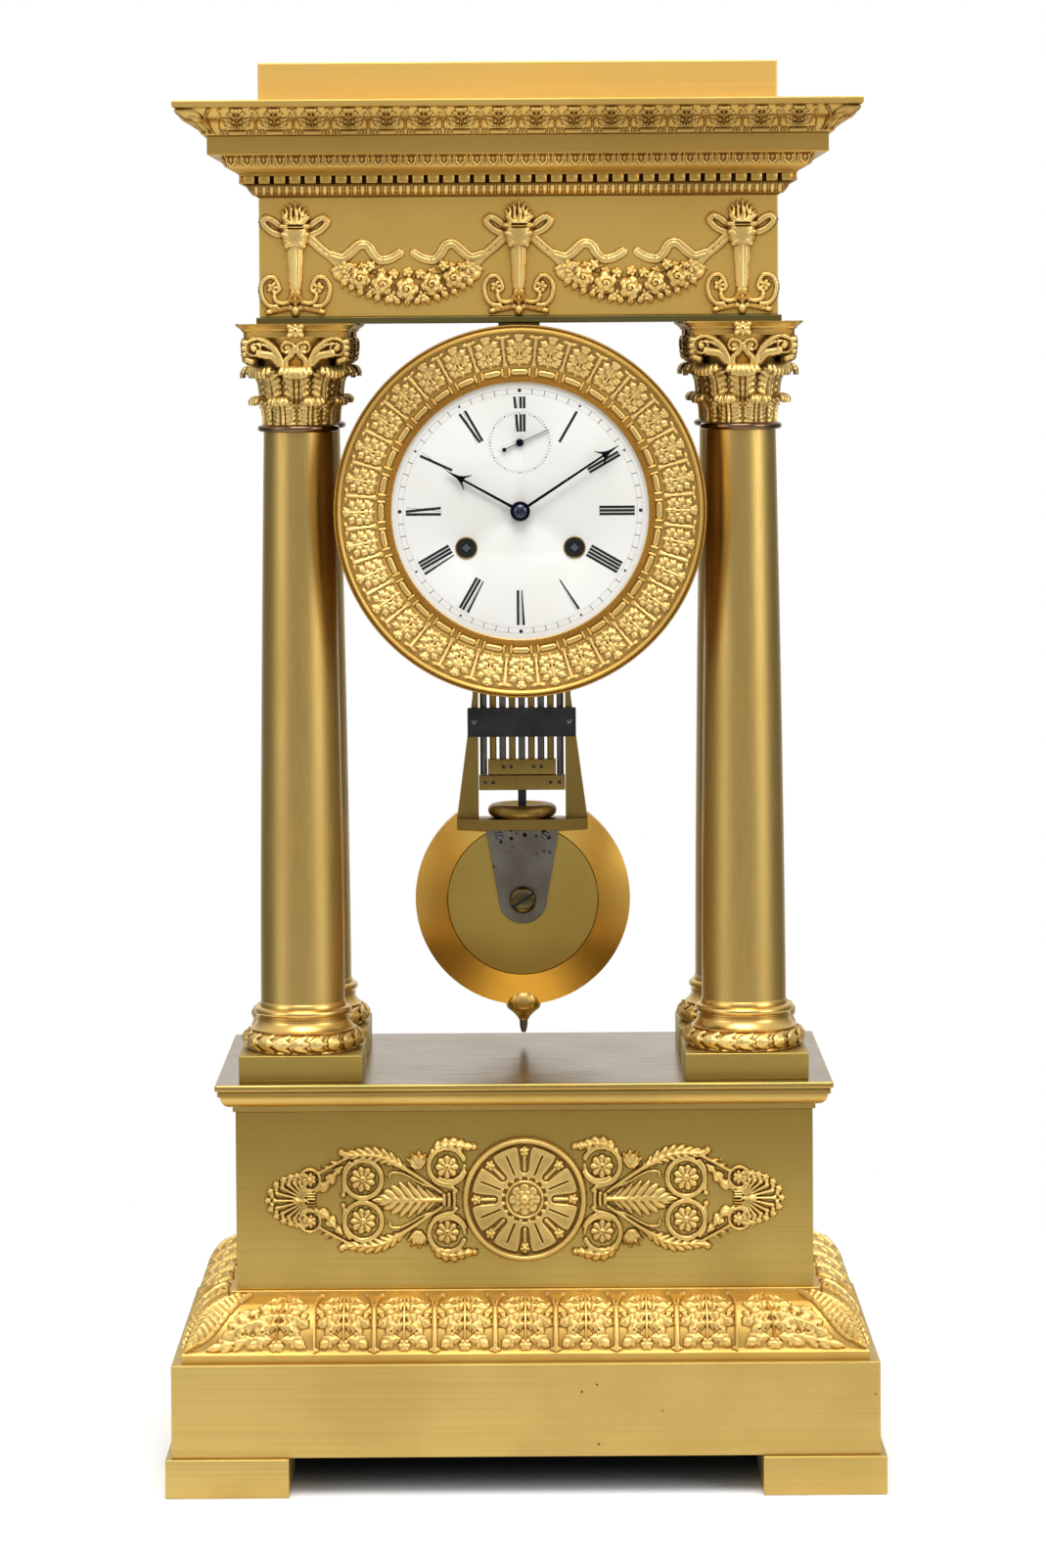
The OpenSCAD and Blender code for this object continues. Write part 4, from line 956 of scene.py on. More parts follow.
def block(node, finish, rounding):
    """A softened block in place of a plain CAD block."""
    dress(slab(node + "_block", *span(node), rounding), finish, [node])


def column_places():
    """The axes of the four columns."""
    low, high = span("column_shafts")
    return [(x, y) for x in (low[0] + COLUMN_R, high[0] - COLUMN_R)
            for y in (low[1] + COLUMN_R, high[1] - COLUMN_R)]


COLUMNS = column_places()
COLUMN_SPAN = COLUMNS[2][0] - COLUMNS[0][0]
PEDESTAL_LOW, PEDESTAL_HIGH = span("pedestal_box")
PEDESTAL_W = PEDESTAL_HIGH[0] - PEDESTAL_LOW[0]
PANEL_Y = PEDESTAL_LOW[1]
PEDESTAL = (PEDESTAL_W, PANEL_Y, PEDESTAL_HIGH[1])
FRIEZE_LOW, FRIEZE_HIGH = span("frieze_box")
FRIEZE_W = FRIEZE_HIGH[0] - FRIEZE_LOW[0]
FRIEZE_Y = FRIEZE_LOW[1]
FRIEZE_BACK = FRIEZE_HIGH[1]
HEADING = (FRIEZE_W, FRIEZE_Y, FRIEZE_BACK)
BASE_LOW, BASE_HIGH = span("column_bases")
TORUS_R = (BASE_HIGH[0] - BASE_LOW[0] - COLUMN_SPAN) / 2 - 4.6
TORUS_Z = BASE_LOW[2] + 4.5


def make_feet():
    low, high = span("corner_feet")
    feet = [slab("foot", (x, y, low[2]), (x + FOOT_W, y + FOOT_W, high[2]), 0.6)
            for x in (low[0], high[0] - FOOT_W) for y in (low[1], high[1] - FOOT_W)]
    dress(joined("corner_feet_blocks", feet), BASE, ["corner_feet"])


def make_plate_top():
    """The worn upper face of the pedestal's top plate."""
    low, high = span("pedestal_top_plate")
    inset = np.array([0.9, 0.9, 0])
    under = np.array([low[0], low[1], high[2] - 0.6]) + inset
    dress(slab("pedestal_plate_face", under, high - inset + (0, 0, 0.02), 0.01, 1), PLATE_TOP)


def make_underside():
    """A near-black board under the base between the feet: painted shade for the dark space under the clock.
    """
    low, high = span("base_block")
    board = slab("base_underside_board", (low[0] + 4, low[1] + 3, low[2] - 0.6),
                 (high[0] - 4, high[1] - 3, low[2] + 0.4), 0.1, 1)
    dress(board, SHADE_BOARD)


def make_mouldings():
    """The plain mouldings under the top plate."""
    low, high = span("pedestal_moulding")
    z, h = low[2], high[2] - low[2]
    reach = PANEL_Y - low[1]
    profile = lifted(z, (0, 0), (1.2, 0), (1.2, 2.2))
    profile += [(1.2 + (reach - 2.4) * math.sin(a), z + 2.2 + (h - 4.8) * (1 - math.cos(a)))
                for a in np.linspace(0, math.pi / 2, 10)]
    profile += lifted(z + h, (reach - 0.4, -2.6), (reach, -2.2), (reach, -0.7), (reach - 1.4, -0.7),
                      (reach - 1.4, 0))
    dress(sweep("pedestal_moulding_course", *PEDESTAL, profile), MOULDING, ["pedestal_moulding"])


def at_columns(name, outline, finish, node, turns=72):
    """The same turned piece at all four columns, as one."""
    pieces = [lathe("turned", outline, (x, y, 0), turns=turns) for x, y in COLUMNS]
    dress(joined(name, pieces), finish, [node])


def make_shafts():
    """The tapered shafts and the collar at the top of each."""
    low, high = levels("column_shafts")
    top = high - 3
    taper = [(SHAFT_FOOT_R - SHAFT_TAPER * t ** 1.4, low + (top - low) * t) for t in np.linspace(0, 1, 24)]
    at_columns("column_shafts_turned", [(0, low)] + taper + [(0, top)], SHAFT, "column_shafts")
    collar = lifted(top, (0, -0.3), (16.4, -0.3)) + bulge(17.1, top + 1.4, 1.8, 1.6, -1.4, 1.5, 14)
    at_columns("column_collars", collar + [(0, high)], COLLAR, "column_shafts")


def make_column_feet():
    low, high = span("column_plinths")
    half = (high[0] - low[0] - COLUMN_SPAN) / 2
    blocks = [slab("plinth", (x - half, y - half, low[2]), (x + half, y + half, high[2]), 0.5)
              for x, y in COLUMNS]
    dress(joined("column_plinth_blocks", blocks), PLINTH_BLOCK, ["column_plinths"])
    z = BASE_LOW[2]
    base = [(0, z), (TORUS_R + 1.6, z)] + bulge(TORUS_R, TORUS_Z, 3.8, 4.2, -1.2, 1.35, 12)
    base += lifted(z, (24.4, 9.0), (24.4, 9.5), (23.8, 9.8), (22.6, 11.0), (21.6, 12.4), (21.2, 13.6),
                   (21.6, 13.9), (21.6, 14.8), (20.9, 15.1), (20.9, 15.7))
    base += bulge(20.5, z + 17.6, 2.1, 1.9, -1.25, 1.3, 10)
    base += lifted(z, (20.2, 19.6), (20.2, 20.6), (19.8, 21.4))
    base += [(SHAFT_FOOT_R, BASE_HIGH[2]), (0, BASE_HIGH[2])]
    at_columns("column_bases_turned", base, BRIGHT, "column_bases")


EGG_LOW, EGG_HIGH = levels("egg_course")
DENTIL_LOW, DENTIL_HIGH = levels("dentil_course")
CORONA_LOW, CORONA_HIGH = levels("corona_course")
CYMA_LOW, CYMA_HIGH = levels("cyma_course")
CYMA_REACH = FRIEZE_Y - span("cyma_course")[0][1]
CYMA_FILLET = CYMA_HIGH - 3.2
CAVETTO_CURVE = lifted(CORONA_LOW, (9.0, 0.4), (11.0, 1.4), (12.8, 2.6), (13.6, 3.4), (14.0, 4.4),
                       (14.5, 5.8), (15.2, 7.2), (15.8, 7.9))
CYMA_CURVE = lifted(CYMA_LOW, (22.6, 0.2), (23.0, 1.2), (23.6, 2.4)) + [
    (23.6 + (CYMA_REACH - 25.6) * t,
     CYMA_LOW + 2.4 + (CYMA_FILLET - CYMA_LOW - 2.8) * (t + 0.11 * math.sin(TAU * t)))
    for t in np.linspace(0.08, 1, 14)]


def make_entablature():
    """The plain parts of the courses above the frieze."""
    egg = lifted(EGG_LOW, (0, 0), (0.5, 0), (0.5, 0.5), (1.5, 1.3), (3.0, 3.1))
    egg += lifted(EGG_HIGH, (4.4, -1.2), (5.25, -0.8), (5.25, 0))
    dentil = [(5.25, DENTIL_LOW), (6.5, DENTIL_LOW), (6.5, DENTIL_HIGH - 0.7)]
    lip = lifted(DENTIL_HIGH, (6.4, -0.7), (8.3, -0.7), (8.5, -0.5), (8.5, 0))
    corona = lifted(CORONA_LOW, (8.5, 0), (9.0, 0.3)) + CAVETTO_CURVE
    corona += lifted(CORONA_LOW, (16, 8.2), (21.6, 8.3), (22, 8.7))
    corona += lifted(CORONA_HIGH, (22, -0.4), (21.6, 0))
    end = CYMA_REACH
    cyma = [(21.6, CYMA_LOW)] + CYMA_CURVE
    cyma += lifted(CYMA_FILLET, (end - 0.8, 0), (end - 0.2, 0.3), (end, 0.8))
    cyma += lifted(CYMA_HIGH, (end, -0.5), (end - 0.5, 0))
    for name, profile, finish, nodes in (
            # The egg ground and the dentil ground are dark as painted shade behind the eggs and between the
            # teeth.
            ("egg_course_ground", egg, SHADE_GILT, ["egg_course"]),
            ("dentil_course_ground", dentil, SHADOW, ["dentil_course"]),
            ("dentil_course_lip", lip, COURSE, []),
            ("corona_course_ground", corona, COURSE, ["corona_course"]),
            ("cyma_course_ground", cyma, LEAF_GROUND, ["cyma_course"])):
        dress(sweep(name, *HEADING, profile), finish, nodes)


make_feet()
block("base_block", BASE, 0.7)
block("pedestal_box", PANEL, 0.6)
block("pedestal_top_plate", MOULDING, 0.9)
make_plate_top()
make_underside()
make_mouldings()
make_shafts()
make_column_feet()
block("architrave_plate", STRIP, 0.4)
block("frieze_box", FRIEZE, 0.6)
make_entablature()
block("attic_block", ATTIC, 0.7)


# Clock head: dial and hands

BEZEL_BACK = span("bezel")[1][1]
DIAL_FRONT, DIAL_BACK = span("dial")[0][1], span("dial")[1][1]
DIAL_R = (span("dial")[1][0] - span("dial")[0][0]) / 2
WINDING_XS = (WIND_X, 2 * DIAL_X - WIND_X)
HOURS = ("XII", "I", "II", "III", "IIII", "V", "VI", "VII", "VIII", "IX", "X", "XI")
NUMERAL_INNER, NUMERAL_OUTER = 36.2, 52.2
PAINT_OUT, PAINT_IN = 0.05, 0.02
SECONDS_ANGLE = 65.6


def numeral(text, breaks=None):
    """The strokes of a Roman numeral at twelve o'clock: even bars, wedge strokes and hair lines."""
    inner, outer = NUMERAL_INNER, NUMERAL_OUTER
    bar, hair = 1.22, 0.16
    wide = {"I": 1.58, "V": 2.5, "X": 2.6}
    left = -sum(wide[c] for c in text) / 2
    reach = -left - 0.1
    lines = []
    for c in text:
        mid = left + wide[c] / 2
        if c == "I":
            lines.append(((mid, outer), (mid, inner), bar, bar))
        else:
            lean, foot, hair_foot, end = (0.75, 0.75, -0.75, bar) if c == "X" else (0.5, 0.2, 0.45, 0.35)
            lines.append(((mid - lean, outer), (mid + foot, inner), bar, end))
            lines.append(((mid + lean + 0.3, outer), (mid + hair_foot, inner), hair, hair))
        left += wide[c]
    parts = [(0.0, 1.0)] if breaks is None else [(0.0, breaks[0]), (breaks[1], 1.0)]
    shapes = []
    for (x0, z0), (x1, z1), w0, w1 in lines:
        at = lambda t: (x0 + (x1 - x0) * t, z0 + (z1 - z0) * t, (w0 + (w1 - w0) * t) / 2)
        for a, b in parts:
            (xa, za, wa), (xb, zb, wb) = at(a), at(b)
            shapes.append([(xa - wa, za), (xa + wa, za), (xb + wb, zb), (xb - wb, zb)])
    if set(text) == {"I"}:
        for z in (inner, outer):
            shapes.append([(-reach, z - 0.06), (reach, z - 0.06), (reach, z + 0.06), (-reach, z + 0.06)])
    return shapes


def ring_line(r, width=0.06, count=120):
    """A thin painted circle around the dial, as short quads."""
    outer, inner = (circle(DIAL_X, DIAL_Z, r + d, count) for d in (width / 2, -width / 2))
    after = lambda line: line[1:] + line[:1]
    return [list(quad) for quad in zip(outer, after(outer), after(inner), inner)]


def ticks(name, half, inner, outer, z):
    """Painted ticks between the hours, around the hands or around the seconds hand."""
    bar = [(-half, inner), (half, inner), (half, outer), (-half, outer)]
    tile = inlay("tick", [turned(bar, 6 * k) for k in range(1, 5)], -PAINT_OUT, PAINT_IN)
    marks = ring(name, tile, len(HOURS), INK, (DIAL_X, DIAL_FRONT, z))
    drop(tile)
    return marks


def make_dial():
    """The enamel disc with its holes, and what is painted on it."""
    holes = [circle(DIAL_X, DIAL_Z, 3.55), circle(DIAL_X, SECOND_Z, 1.7, 24)]
    holes += [circle(x, WIND_Z, 5.0) for x in WINDING_XS]
    disc = plate("dial_disc", circle(DIAL_X, DIAL_Z, DIAL_R, 144), DIAL_FRONT, DIAL_BACK, 0.1, holes)
    dress(disc, ENAMEL, ["dial"])
    shapes = []
    for hour, text in enumerate(HOURS):
        angle = hour * 30
        dot = 0.85 if hour % 3 == 0 else 0.55
        for shape in numeral(text, (0.335, 0.505) if hour == 0 else None) + [circle(0, 55.0, dot, 20)]:
            shapes.append(turned(shape, angle, DIAL_X, DIAL_Z))
        shapes.append(turned(circle(0, 13.6, 0.36, 12), angle, DIAL_X, SECOND_Z))
    shapes += ring_line(55.9) + ring_line(53.5)
    marks = inlay("dial_marks", shapes, DIAL_FRONT - PAINT_OUT, DIAL_FRONT + PAINT_IN)
    minutes = ticks("minute_ticks", 0.14, 53.4, 56.0, DIAL_Z)
    seconds = ticks("second_ticks", 0.07, 12.8, 14.4, SECOND_Z)
    dress(joined("dial_painting", [marks, minutes, seconds]), INK, ())


def make_eyelets():
    """The brass rim of each winding hole, and a black cup inside it as painted shade."""
    rim = [(4.4, -1.9), (5.0, -1.9), (5.0, 0.25), (4.85, 0.42), (4.6, 0.42), (4.4, 0.2), (4.4, -1.9)]
    # A black cup standing for the shade inside the hole.
    cup = [(4.4, 0.1), (4.36, 0.1), (4.36, -1.2), (2.2, -1.2), (2.2, -1.8), (4.4, -1.8), (4.4, 0.1)]
    for k, x in enumerate(WINDING_XS):
        centre = (x, DIAL_FRONT, WIND_Z)
        eyelet = lathe("winding_rim_%d" % k, rim, centre, "forward", 48)
        dress(eyelet, BAR_BRASS, ["winding_eyelets"])
        dress(lathe("winding_cup_%d" % k, cup, centre, "forward", 40), INK, ())


def hand_outline(length, half):
    """A slim hand with an arrow head whose two barbs curl back."""
    neck = length - 8.6
    point = (4.5, neck - 3.1)
    barb = smooth_line([(0.75, length - 5.6), (1.7, neck + 0.7), (3.1, neck - 1.2), point], 9)
    back = smooth_line([point, (2.5, neck - 1.5), (0.95, neck - 0.2), (half * 0.8, neck - 0.4)], 8)
    curl = [tuple(p) for p in back[:0:-1]] + [tuple(p) for p in barb[-2::-1]]
    right = [(half * 1.15, 0)] + curl + [(0.4, length - 2.6)]
    return right + [(0.06, length), (-0.06, length)] + mirrored(-1, right[::-1])


def make_hands():
    """The hour and minute hands, each with a boss around its pipe."""
    for node, body, angle, half, hole in (("hour_hand", "hour_set", 298.9, 0.62, 3.15),
                                          ("minute_hand", "minute_set", 56.6, 0.6, 2.0)):
        low, high = span(node)
        reach = max(abs(low[0] - DIAL_X), abs(high[0] - DIAL_X), high[2] - DIAL_Z)
        length = reach / max(abs(math.sin(math.radians(angle))), math.cos(math.radians(angle)))
        outline = turned(hand_outline(length, half), angle, DIAL_X, DIAL_Z)
        boss = [(hole, 0), (4.5, 0), (4.5, 0.6), (4.25, 0.8), (hole + 0.2, 0.8), (hole, 0.6), (hole, 0)]
        parts = [plate("blade", outline, low[1], high[1], 0.12),
                 lathe("boss", boss, (DIAL_X, high[1], DIAL_Z), "forward", 48)]
        dress(joined(node + "_blued", parts), BLUED, [node], body)


def make_seconds_hand():
    low, high = span("seconds_hand")
    bar = [(-0.2, -7.8), (0.2, -7.8), (0.15, 14.4), (-0.15, 14.4)]
    boss = [(0, 0), (1.75, 0), (1.75, 0.75), (1.4, 1.1), (0.8, 1.22), (0, 1.25)]
    parts = [plate("part", turned(shape, SECONDS_ANGLE, DIAL_X, SECOND_Z), low[1], high[1], rounding)
             for shape, rounding in ((bar, 0.05), (circle(0, -7.8, 0.95, 24), 0.15))]
    parts.append(lathe("boss", boss, (DIAL_X, high[1], SECOND_Z), "forward", 32))
    dress(joined("seconds_hand_blued", parts), BLUED, ["seconds_hand"], "seconds_set")


make_dial()
make_eyelets()
make_hands()
make_seconds_hand()
soft_node("hand_screw", POLISHED_STEEL, 0.2, "minute_set")


# Bezel

BEZEL_CENTRE = (DIAL_X, BEZEL_BACK, DIAL_Z)
BEZEL_R, BEZEL_BORE = 85, 58.75
BEZEL_TILES = 32
BEZEL_SURFACE = {58.7: 3.6, 59.4: 4.4, 61.4: 4.4, 61.8: 3.9, 65.4: 3.9, 66.2: 4.3, 72: 5.5, 79.6: 7.9,
                 81.0: 8.1, 81.3: 8.0}
BEAD_R, LEAF_R = 63.55, 73.5


def bezel_ground(r):
    """How far the bezel's surface stands forward at a radius."""
    return np.interp(r, list(BEZEL_SURFACE), list(BEZEL_SURFACE.values()))


def around_bezel(name, tile, count=BEZEL_TILES):
    tiles = ring(name, tile, count, BEZEL_CARVED, BEZEL_CENTRE)
    drop(tile)
    return tiles


def make_bezel():
    """The turned ring, and a dark line behind it: painted shade."""
    profile = [(BEZEL_R, 0), (BEZEL_R, 8.2), (84.8, 8.9), (84.3, 9.0), (84.05, 8.5), (83.9, 8.2),
               (83.75, 8.6), (83.4, 9.5), (82.7, 9.95), (81.9, 9.6), (81.4, 8.8)]
    profile += [(r, float(bezel_ground(r))) for r in np.linspace(BEZEL_BORE, 81.3, 60)[::-1]]
    profile += [(BEZEL_BORE, 0), (BEZEL_R, 0)]
    dress(lathe("bezel_ring", profile, BEZEL_CENTRE, "forward", 192), ORNAMENT_GROUND, ["bezel"])
    # A painted shade ring behind the bezel, so that its back reads dark.
    back = [(60, -0.06), (84.8, -0.06), (84.8, 0.2), (60, 0.2), (60, -0.06)]
    dress(lathe("bezel_back", back, BEZEL_CENTRE, "forward", 96), SHADOW)


def mill_tooth(r0, r1, h0, h1, half):
    """A small ridge that lies from one radius to another."""
    verts = [(-half, -h0, r0), (half, -h0, r0), (half, -h0, r1), (-half, -h0, r1),
             (0, -h1, r0 + 0.15), (0, -h1, r1 - 0.15)]
    ends = np.array([[0, 1, 4], [3, 5, 2]])
    sides = np.array([[0, 4, 5, 3], [1, 2, 5, 4], [0, 3, 2, 1]])
    # The tooth's foot is marked hollow and its ridge raised, so the carved finish darkens the foot: patina
    # and painted shade.
    return mesh_object("tooth", verts, [ends, sides], [0.2] * 4 + [0.95] * 2)


def make_milling():
    mills = [around_bezel("outer_milling", mill_tooth(84.15, 85.0, 8.0, 9.75, 0.55), 470),
             around_bezel("inner_milling", mill_tooth(59.0, 61.5, 4.2, 5.2, 0.46), 400)]
    dress(joined("bezel_milling", mills), BEZEL_CARVED)


def make_bezel_beads():
    """A long bead between two short upright ones."""
    c = Carving(-6.25, 6.25, 61.5, 65.6, 0.26)
    c.stroke([(-2.7, BEAD_R), (2.7, BEAD_R)], 2.9, 1.5)
    for s in (-1, 1):
        c.stroke([(s * 4.65, 62.1), (s * 4.65, 65.0)], 1.35, 1.75)
    dress(around_bezel("bezel_beads", c.solid("bead", on_ring(BEAD_R, bezel_ground))), BEZEL_CARVED)


def make_bezel_leaves():
    """A lobed leaf between two stems with bell feet; the flower of each leaf stands at the outer edge."""
    low, high, w, height = 66.3, 80.7, 14.43 / 2, 1.25
    c = Carving(-w, w, low, high, 0.42)
    at = lambda t: low + (high - low) * t
    c.h[:] = 0.1
    for s in (-1, 1):
        c.stroke([(s * w, at(0.12)), (s * w, at(0.9))], 1.5, height * 0.8)
        c.stroke([(s * w, at(0.0)), (s * w, at(0.16))], 2.4, height * 0.9, (1.0, 0.5))
        c.stroke([(s * w * 0.72, at(0.93)), (s * w, at(0.87))], 1.4, height, (1.0, 0.8))
        c.cut([(s * (w - 0.9), at(0.22)), (s * (w - 0.75), at(0.88))], 0.7, 1.0, 0.05)
        for rib, wide, rise, depth in (
                (((0.3, 0.1), (w * 0.5, 0.2), (w * 0.84, 0.34)), 0.62, 0.85, 0.4),
                (((0.3, 0.22), (w * 0.42, 0.44), (w * 0.86, 0.58)), 0.72, 1.0, 0.45),
                (((0.2, 0.45), (w * 0.3, 0.66), (w * 0.72, 0.8)), 0.6, 1.0, 0.4)):
            c.leaf([(s * u, at(t)) for u, t in rib], w * wide, height * rise, 3, depth)
        for u, t, r in ((0.2, 0.3, 0.45), (0.34, 0.62, 0.5), (0.74, 0.46, 0.42)):
            c.hole(s * w * u, at(t), r)
    c.stroke([(0, at(0.02)), (0, at(0.86))], 1.3, height * 1.15, (1.0, 0.7))
    c.flower(0, at(0.91), w * 0.3, 5, height * 1.2, phase=90)
    c.hole(0, at(0.2), 0.3)
    leaf = c.solid("leaf", on_ring(LEAF_R, bezel_ground), contrast=0.9, whole=True)
    dress(around_bezel("bezel_leaves", leaf), BEZEL_CARVED)


make_bezel()
make_milling()
make_bezel_beads()
make_bezel_leaves()


# Pendulum and the plain parts of the head

NUT_FOOT = levels("rating_nut")[0]
BEVEL_DROP = 5.8


def make_bob():
    """A bevelled ring around a flat disc; the ring is cut off between the frame's legs, behind its foot."""
    low, high = span("bob_ring")
    r, thick = (high[0] - low[0]) / 2, (high[1] - low[1]) / 2
    z = low[2] + r
    face_r = span("bob_face")[1][0]
    both = lambda half: half + [(a, -b) for a, b in half[::-1]]
    front = [(face_r + 0.05, thick - 0.5), (face_r + 0.3, thick - 0.1), (r, thick - 0.1 - BEVEL_DROP)]
    outer = lathe("bob_ring_bevelled", both(front) + front[:1], (0, PEND_Y, z), "forward", 144)
    leg = span("pendulum_frame")[1][0] - 0.1
    cut_out(outer, (-leg, PEND_Y - 20, NUT_FOOT - 0.35), (leg, PEND_Y + 20, z + r + 1))
    dress(outer, BOB_RING, ["bob_ring"], "pendulum")
    edge = [(0, thick), (face_r - 0.7, thick), (face_r - 0.2, thick - 0.2), (face_r - 0.02, thick - 0.6)]
    disc = lathe("bob_face_disc", both(edge), (0, PEND_Y, z), "forward", 120)
    dress(disc, BOB_FACE, ["bob_face"], "pendulum")


def make_frame_foot():
    """The bar under the nut: flat in front, its ends turned back to the legs."""
    low, high = span("pendulum_frame")
    w, flat = high[0], 15.5
    back, mid, end = low[1] + 6.2, low[1] - 0.1, low[1] + 4.6
    plan = [(-w, back), (-w, end), (-flat, mid), (flat, mid), (w, end), (w, back)]
    n = len(plan)
    verts = [(x, y, z) for z in (low[2], NUT_FOOT - 0.3) for x, y in plan]
    ids = np.arange(n)
    after = (ids + 1) % n
    faces = [np.array([ids[::-1], ids + n]), np.stack([ids, after, after + n, ids + n], 1)]
    foot = tidy_mesh(mesh_object("frame_foot_bar", verts, faces, smooth_angle=20), smooth_angle=20)
    dress(foot, BAR_BRASS, ["pendulum_frame"], "pendulum")


def make_finial():
    foot = levels("finial")[0]
    r, mid, centre = 8.5, foot + 15.2, (0, PEND_Y, 0)
    ball = [(0, mid + r)]
    ball += [(r * math.sin(a), mid + r * math.cos(a)) for a in np.linspace(0.12, 1.95, 22)]
    ball += lifted(mid, (6.2, -4.5), (4.4, -6.0), (3.1, -7.5), (2.5, -8.5), (2.3, -8.9), (0, -8.9))
    dress(lathe("finial_ball", ball, centre, turns=64), BRIGHT, ["finial"], "pendulum")
    pin = lifted(mid, (0, -8.7), (2.0, -8.7), (1.9, -11.5), (1.4, -14.0)) + [(0.9, foot + 0.1), (0, foot)]
    dress(lathe("finial_pin", pin, centre, turns=32), ROD_STEEL, ["finial"], "pendulum")


def make_rating_nut():
    """A dished nut with a rounded rim."""
    low, high = span("rating_nut")
    r, z, h = (high[0] - low[0]) / 2, low[2], high[2] - low[2]
    bore, rim_w, rim_h = 2.05, 3.4, h * 0.42
    line = [(bore, z)] + bulge(r - rim_w, z + rim_h, rim_w, rim_h, -1.45, 1.9, 16)
    line += lifted(z, (10.6, h * 0.66), (6.0, h * 0.56), (bore, h * 0.54), (bore, 0))
    nut = lathe("rating_nut_dished", line, (0, (low[1] + high[1]) / 2, 0), turns=80)
    dress(nut, BAR_BRASS, ["rating_nut"], "regulator")


def make_cross_bars():
    """Two bars, the upper set back a little, and the rod down to the nut."""
    low, high = span("cross_bars")
    step, mid = levels("steel_rods")[0], PEND_Y
    thick = mid - low[1]
    lower = slab("bar", (low[0], low[1] - 0.4, step - 7.4), (high[0], mid + thick, step - 0.25), 0.35)
    upper = slab("bar", (-16.3, low[1] + 0.5, step - 0.1), (16.3, mid + 3, high[2]), 0.35)
    line = [(0, low[2]), (2, low[2]), (2, step - 5), (0, step - 5)]
    rod = lathe("rating_rod", line, (0, mid, 0), turns=32)
    dress(rod, DARK_STEEL, ["cross_bars"], "pendulum")
    dress(joined("cross_bars_stepped", [lower, upper]), BAR_BRASS, ["cross_bars"], "pendulum")


def screw_slot(name, half, wide, angle, x, z, front, depth):
    """A black bar standing for the shade in a screw's slot, turned by an angle in degrees."""
    slot = [(-half, -wide), (half, -wide), (half, wide), (-half, wide)]
    return inlay(name, [turned(slot, angle, x, z)], front, depth)


def make_bracket_screws():
    """Two small slotted screws at the bracket's upper corners, each in a dark ring of painted shadow, with
    black slots as painted shade.
    """
    low, high = span("bracket_screws")
    r, z = (high[2] - low[2]) / 2, (low[2] + high[2]) / 2
    front, back = low[1], high[1]
    head = [(0, 0), (r - 0.4, 0), (r, -0.3), (r, front - back), (0, front - back)]
    seat = [(r, 0.08), (r + 0.35, 0.08), (r + 0.35, -0.1), (r, -0.1), (r, 0.08)]
    heads, dark = [], []
    for x, angle in ((low[0] + r, -8), (high[0] - r, 40)):
        heads.append(lathe("head", head, (x, front, z), "forward", 32))
        dark.append(lathe("seat", seat, (x, back, z), "forward", 32))
        dark.append(screw_slot("slot", r - 0.2, 0.28, angle, x, z, front - 0.04, front + 0.3))
    dress(joined("bracket_screw_heads", heads), ARBOR_STEEL, ["bracket_screws"], "pendulum")
    dress(joined("bracket_screw_slots", dark), INK, (), "pendulum")


def make_bob_screw():
    """A polished slotted screw that holds the bracket."""
    low, high = span("bob_screw")
    r, z = (high[0] - low[0]) / 2, (low[2] + high[2]) / 2
    front, tall = low[1], low[1] - high[1]
    head = [(0, 0), (r * 0.4, -0.1), (r * 0.68, -0.42), (r * 0.86, -0.9), (r * 0.96, -1.5), (r, -2.1),
            (r, -2.6), (r * 0.5, -2.8), (r * 0.5, tall), (0, tall)]
    screw = lathe("bob_screw_head", head, (0, front, z), "forward", 64)
    dress(screw, SCREW_BRASS, ["bob_screw"], "pendulum")
    # The slot is a black bar: painted shade.
    slot = screw_slot("bob_screw_slot", r - 0.3, 0.8, -33, 0, z, front - 0.06, front + 0.9)
    dress(slot, INK, (), "pendulum")


def make_pins():
    """Pins through the cross bars and screws at the ends of the dark band."""
    front = span("cross_bars")[0][1]
    lower, upper = (levels(rods)[0] - 3.7 for rods in ("steel_rods", "brass_rods"))
    bars = ((lower, front - 0.4, (-17.6, -13.8, 13.7, 17.9)), (upper, front + 0.5, (-8.9, -5.2, 5.6, 9.3)))
    outline = [(0, 0.12), (0.75, 0.12), (0.9, 0.0), (0.9, -0.3), (0, -0.3)]
    pins = [lathe("pin", outline, (x, y, z), "forward", 16) for z, y, places in bars for x in places]
    dress(joined("cross_bar_pins", pins), DARK_STEEL, (), "pendulum")
    low, high = span("cross_band")
    line = [(0, 0.5), (0.9, 0.5), (1.25, 0.25), (1.3, -0.2), (0, -0.2)]
    head = lathe("head", line, (0, 0, 0), "forward", 20)
    first = (low[0] + 3.2, low[1], (low[2] + high[2]) / 2 + 0.5)
    heads = row("band_screws", head, 2, ROD_STEEL, first, (high[0] - low[0] - 6.4, 0, 0))
    drop(head)
    dress(heads, ROD_STEEL, (), "pendulum")


soft_node("pendulum_frame", BAR_BRASS, 0.35, "pendulum")
soft_node("steel_rods", ROD_STEEL, 0, "pendulum")
soft_node("brass_rods", ROD_BRASS, 0, "pendulum")
soft_node("cross_band", DARK_STEEL, 0.2, "pendulum")
soft_node("bob_bracket", STEEL, 0.3, "pendulum")
make_bob()
make_frame_foot()
make_finial()
make_rating_nut()
make_cross_bars()
make_pins()
make_bob_screw()
make_bracket_screws()
soft_node("saddle_block", STRIP, 0.3)
# The drum case is darkened as painted shade, so that it and its reflections read dark.
soft_node("drum_case", SHADE_GILT, 0.3)
soft_node("back_cover", WHEEL_BRASS, 0.2)


# Carved courses


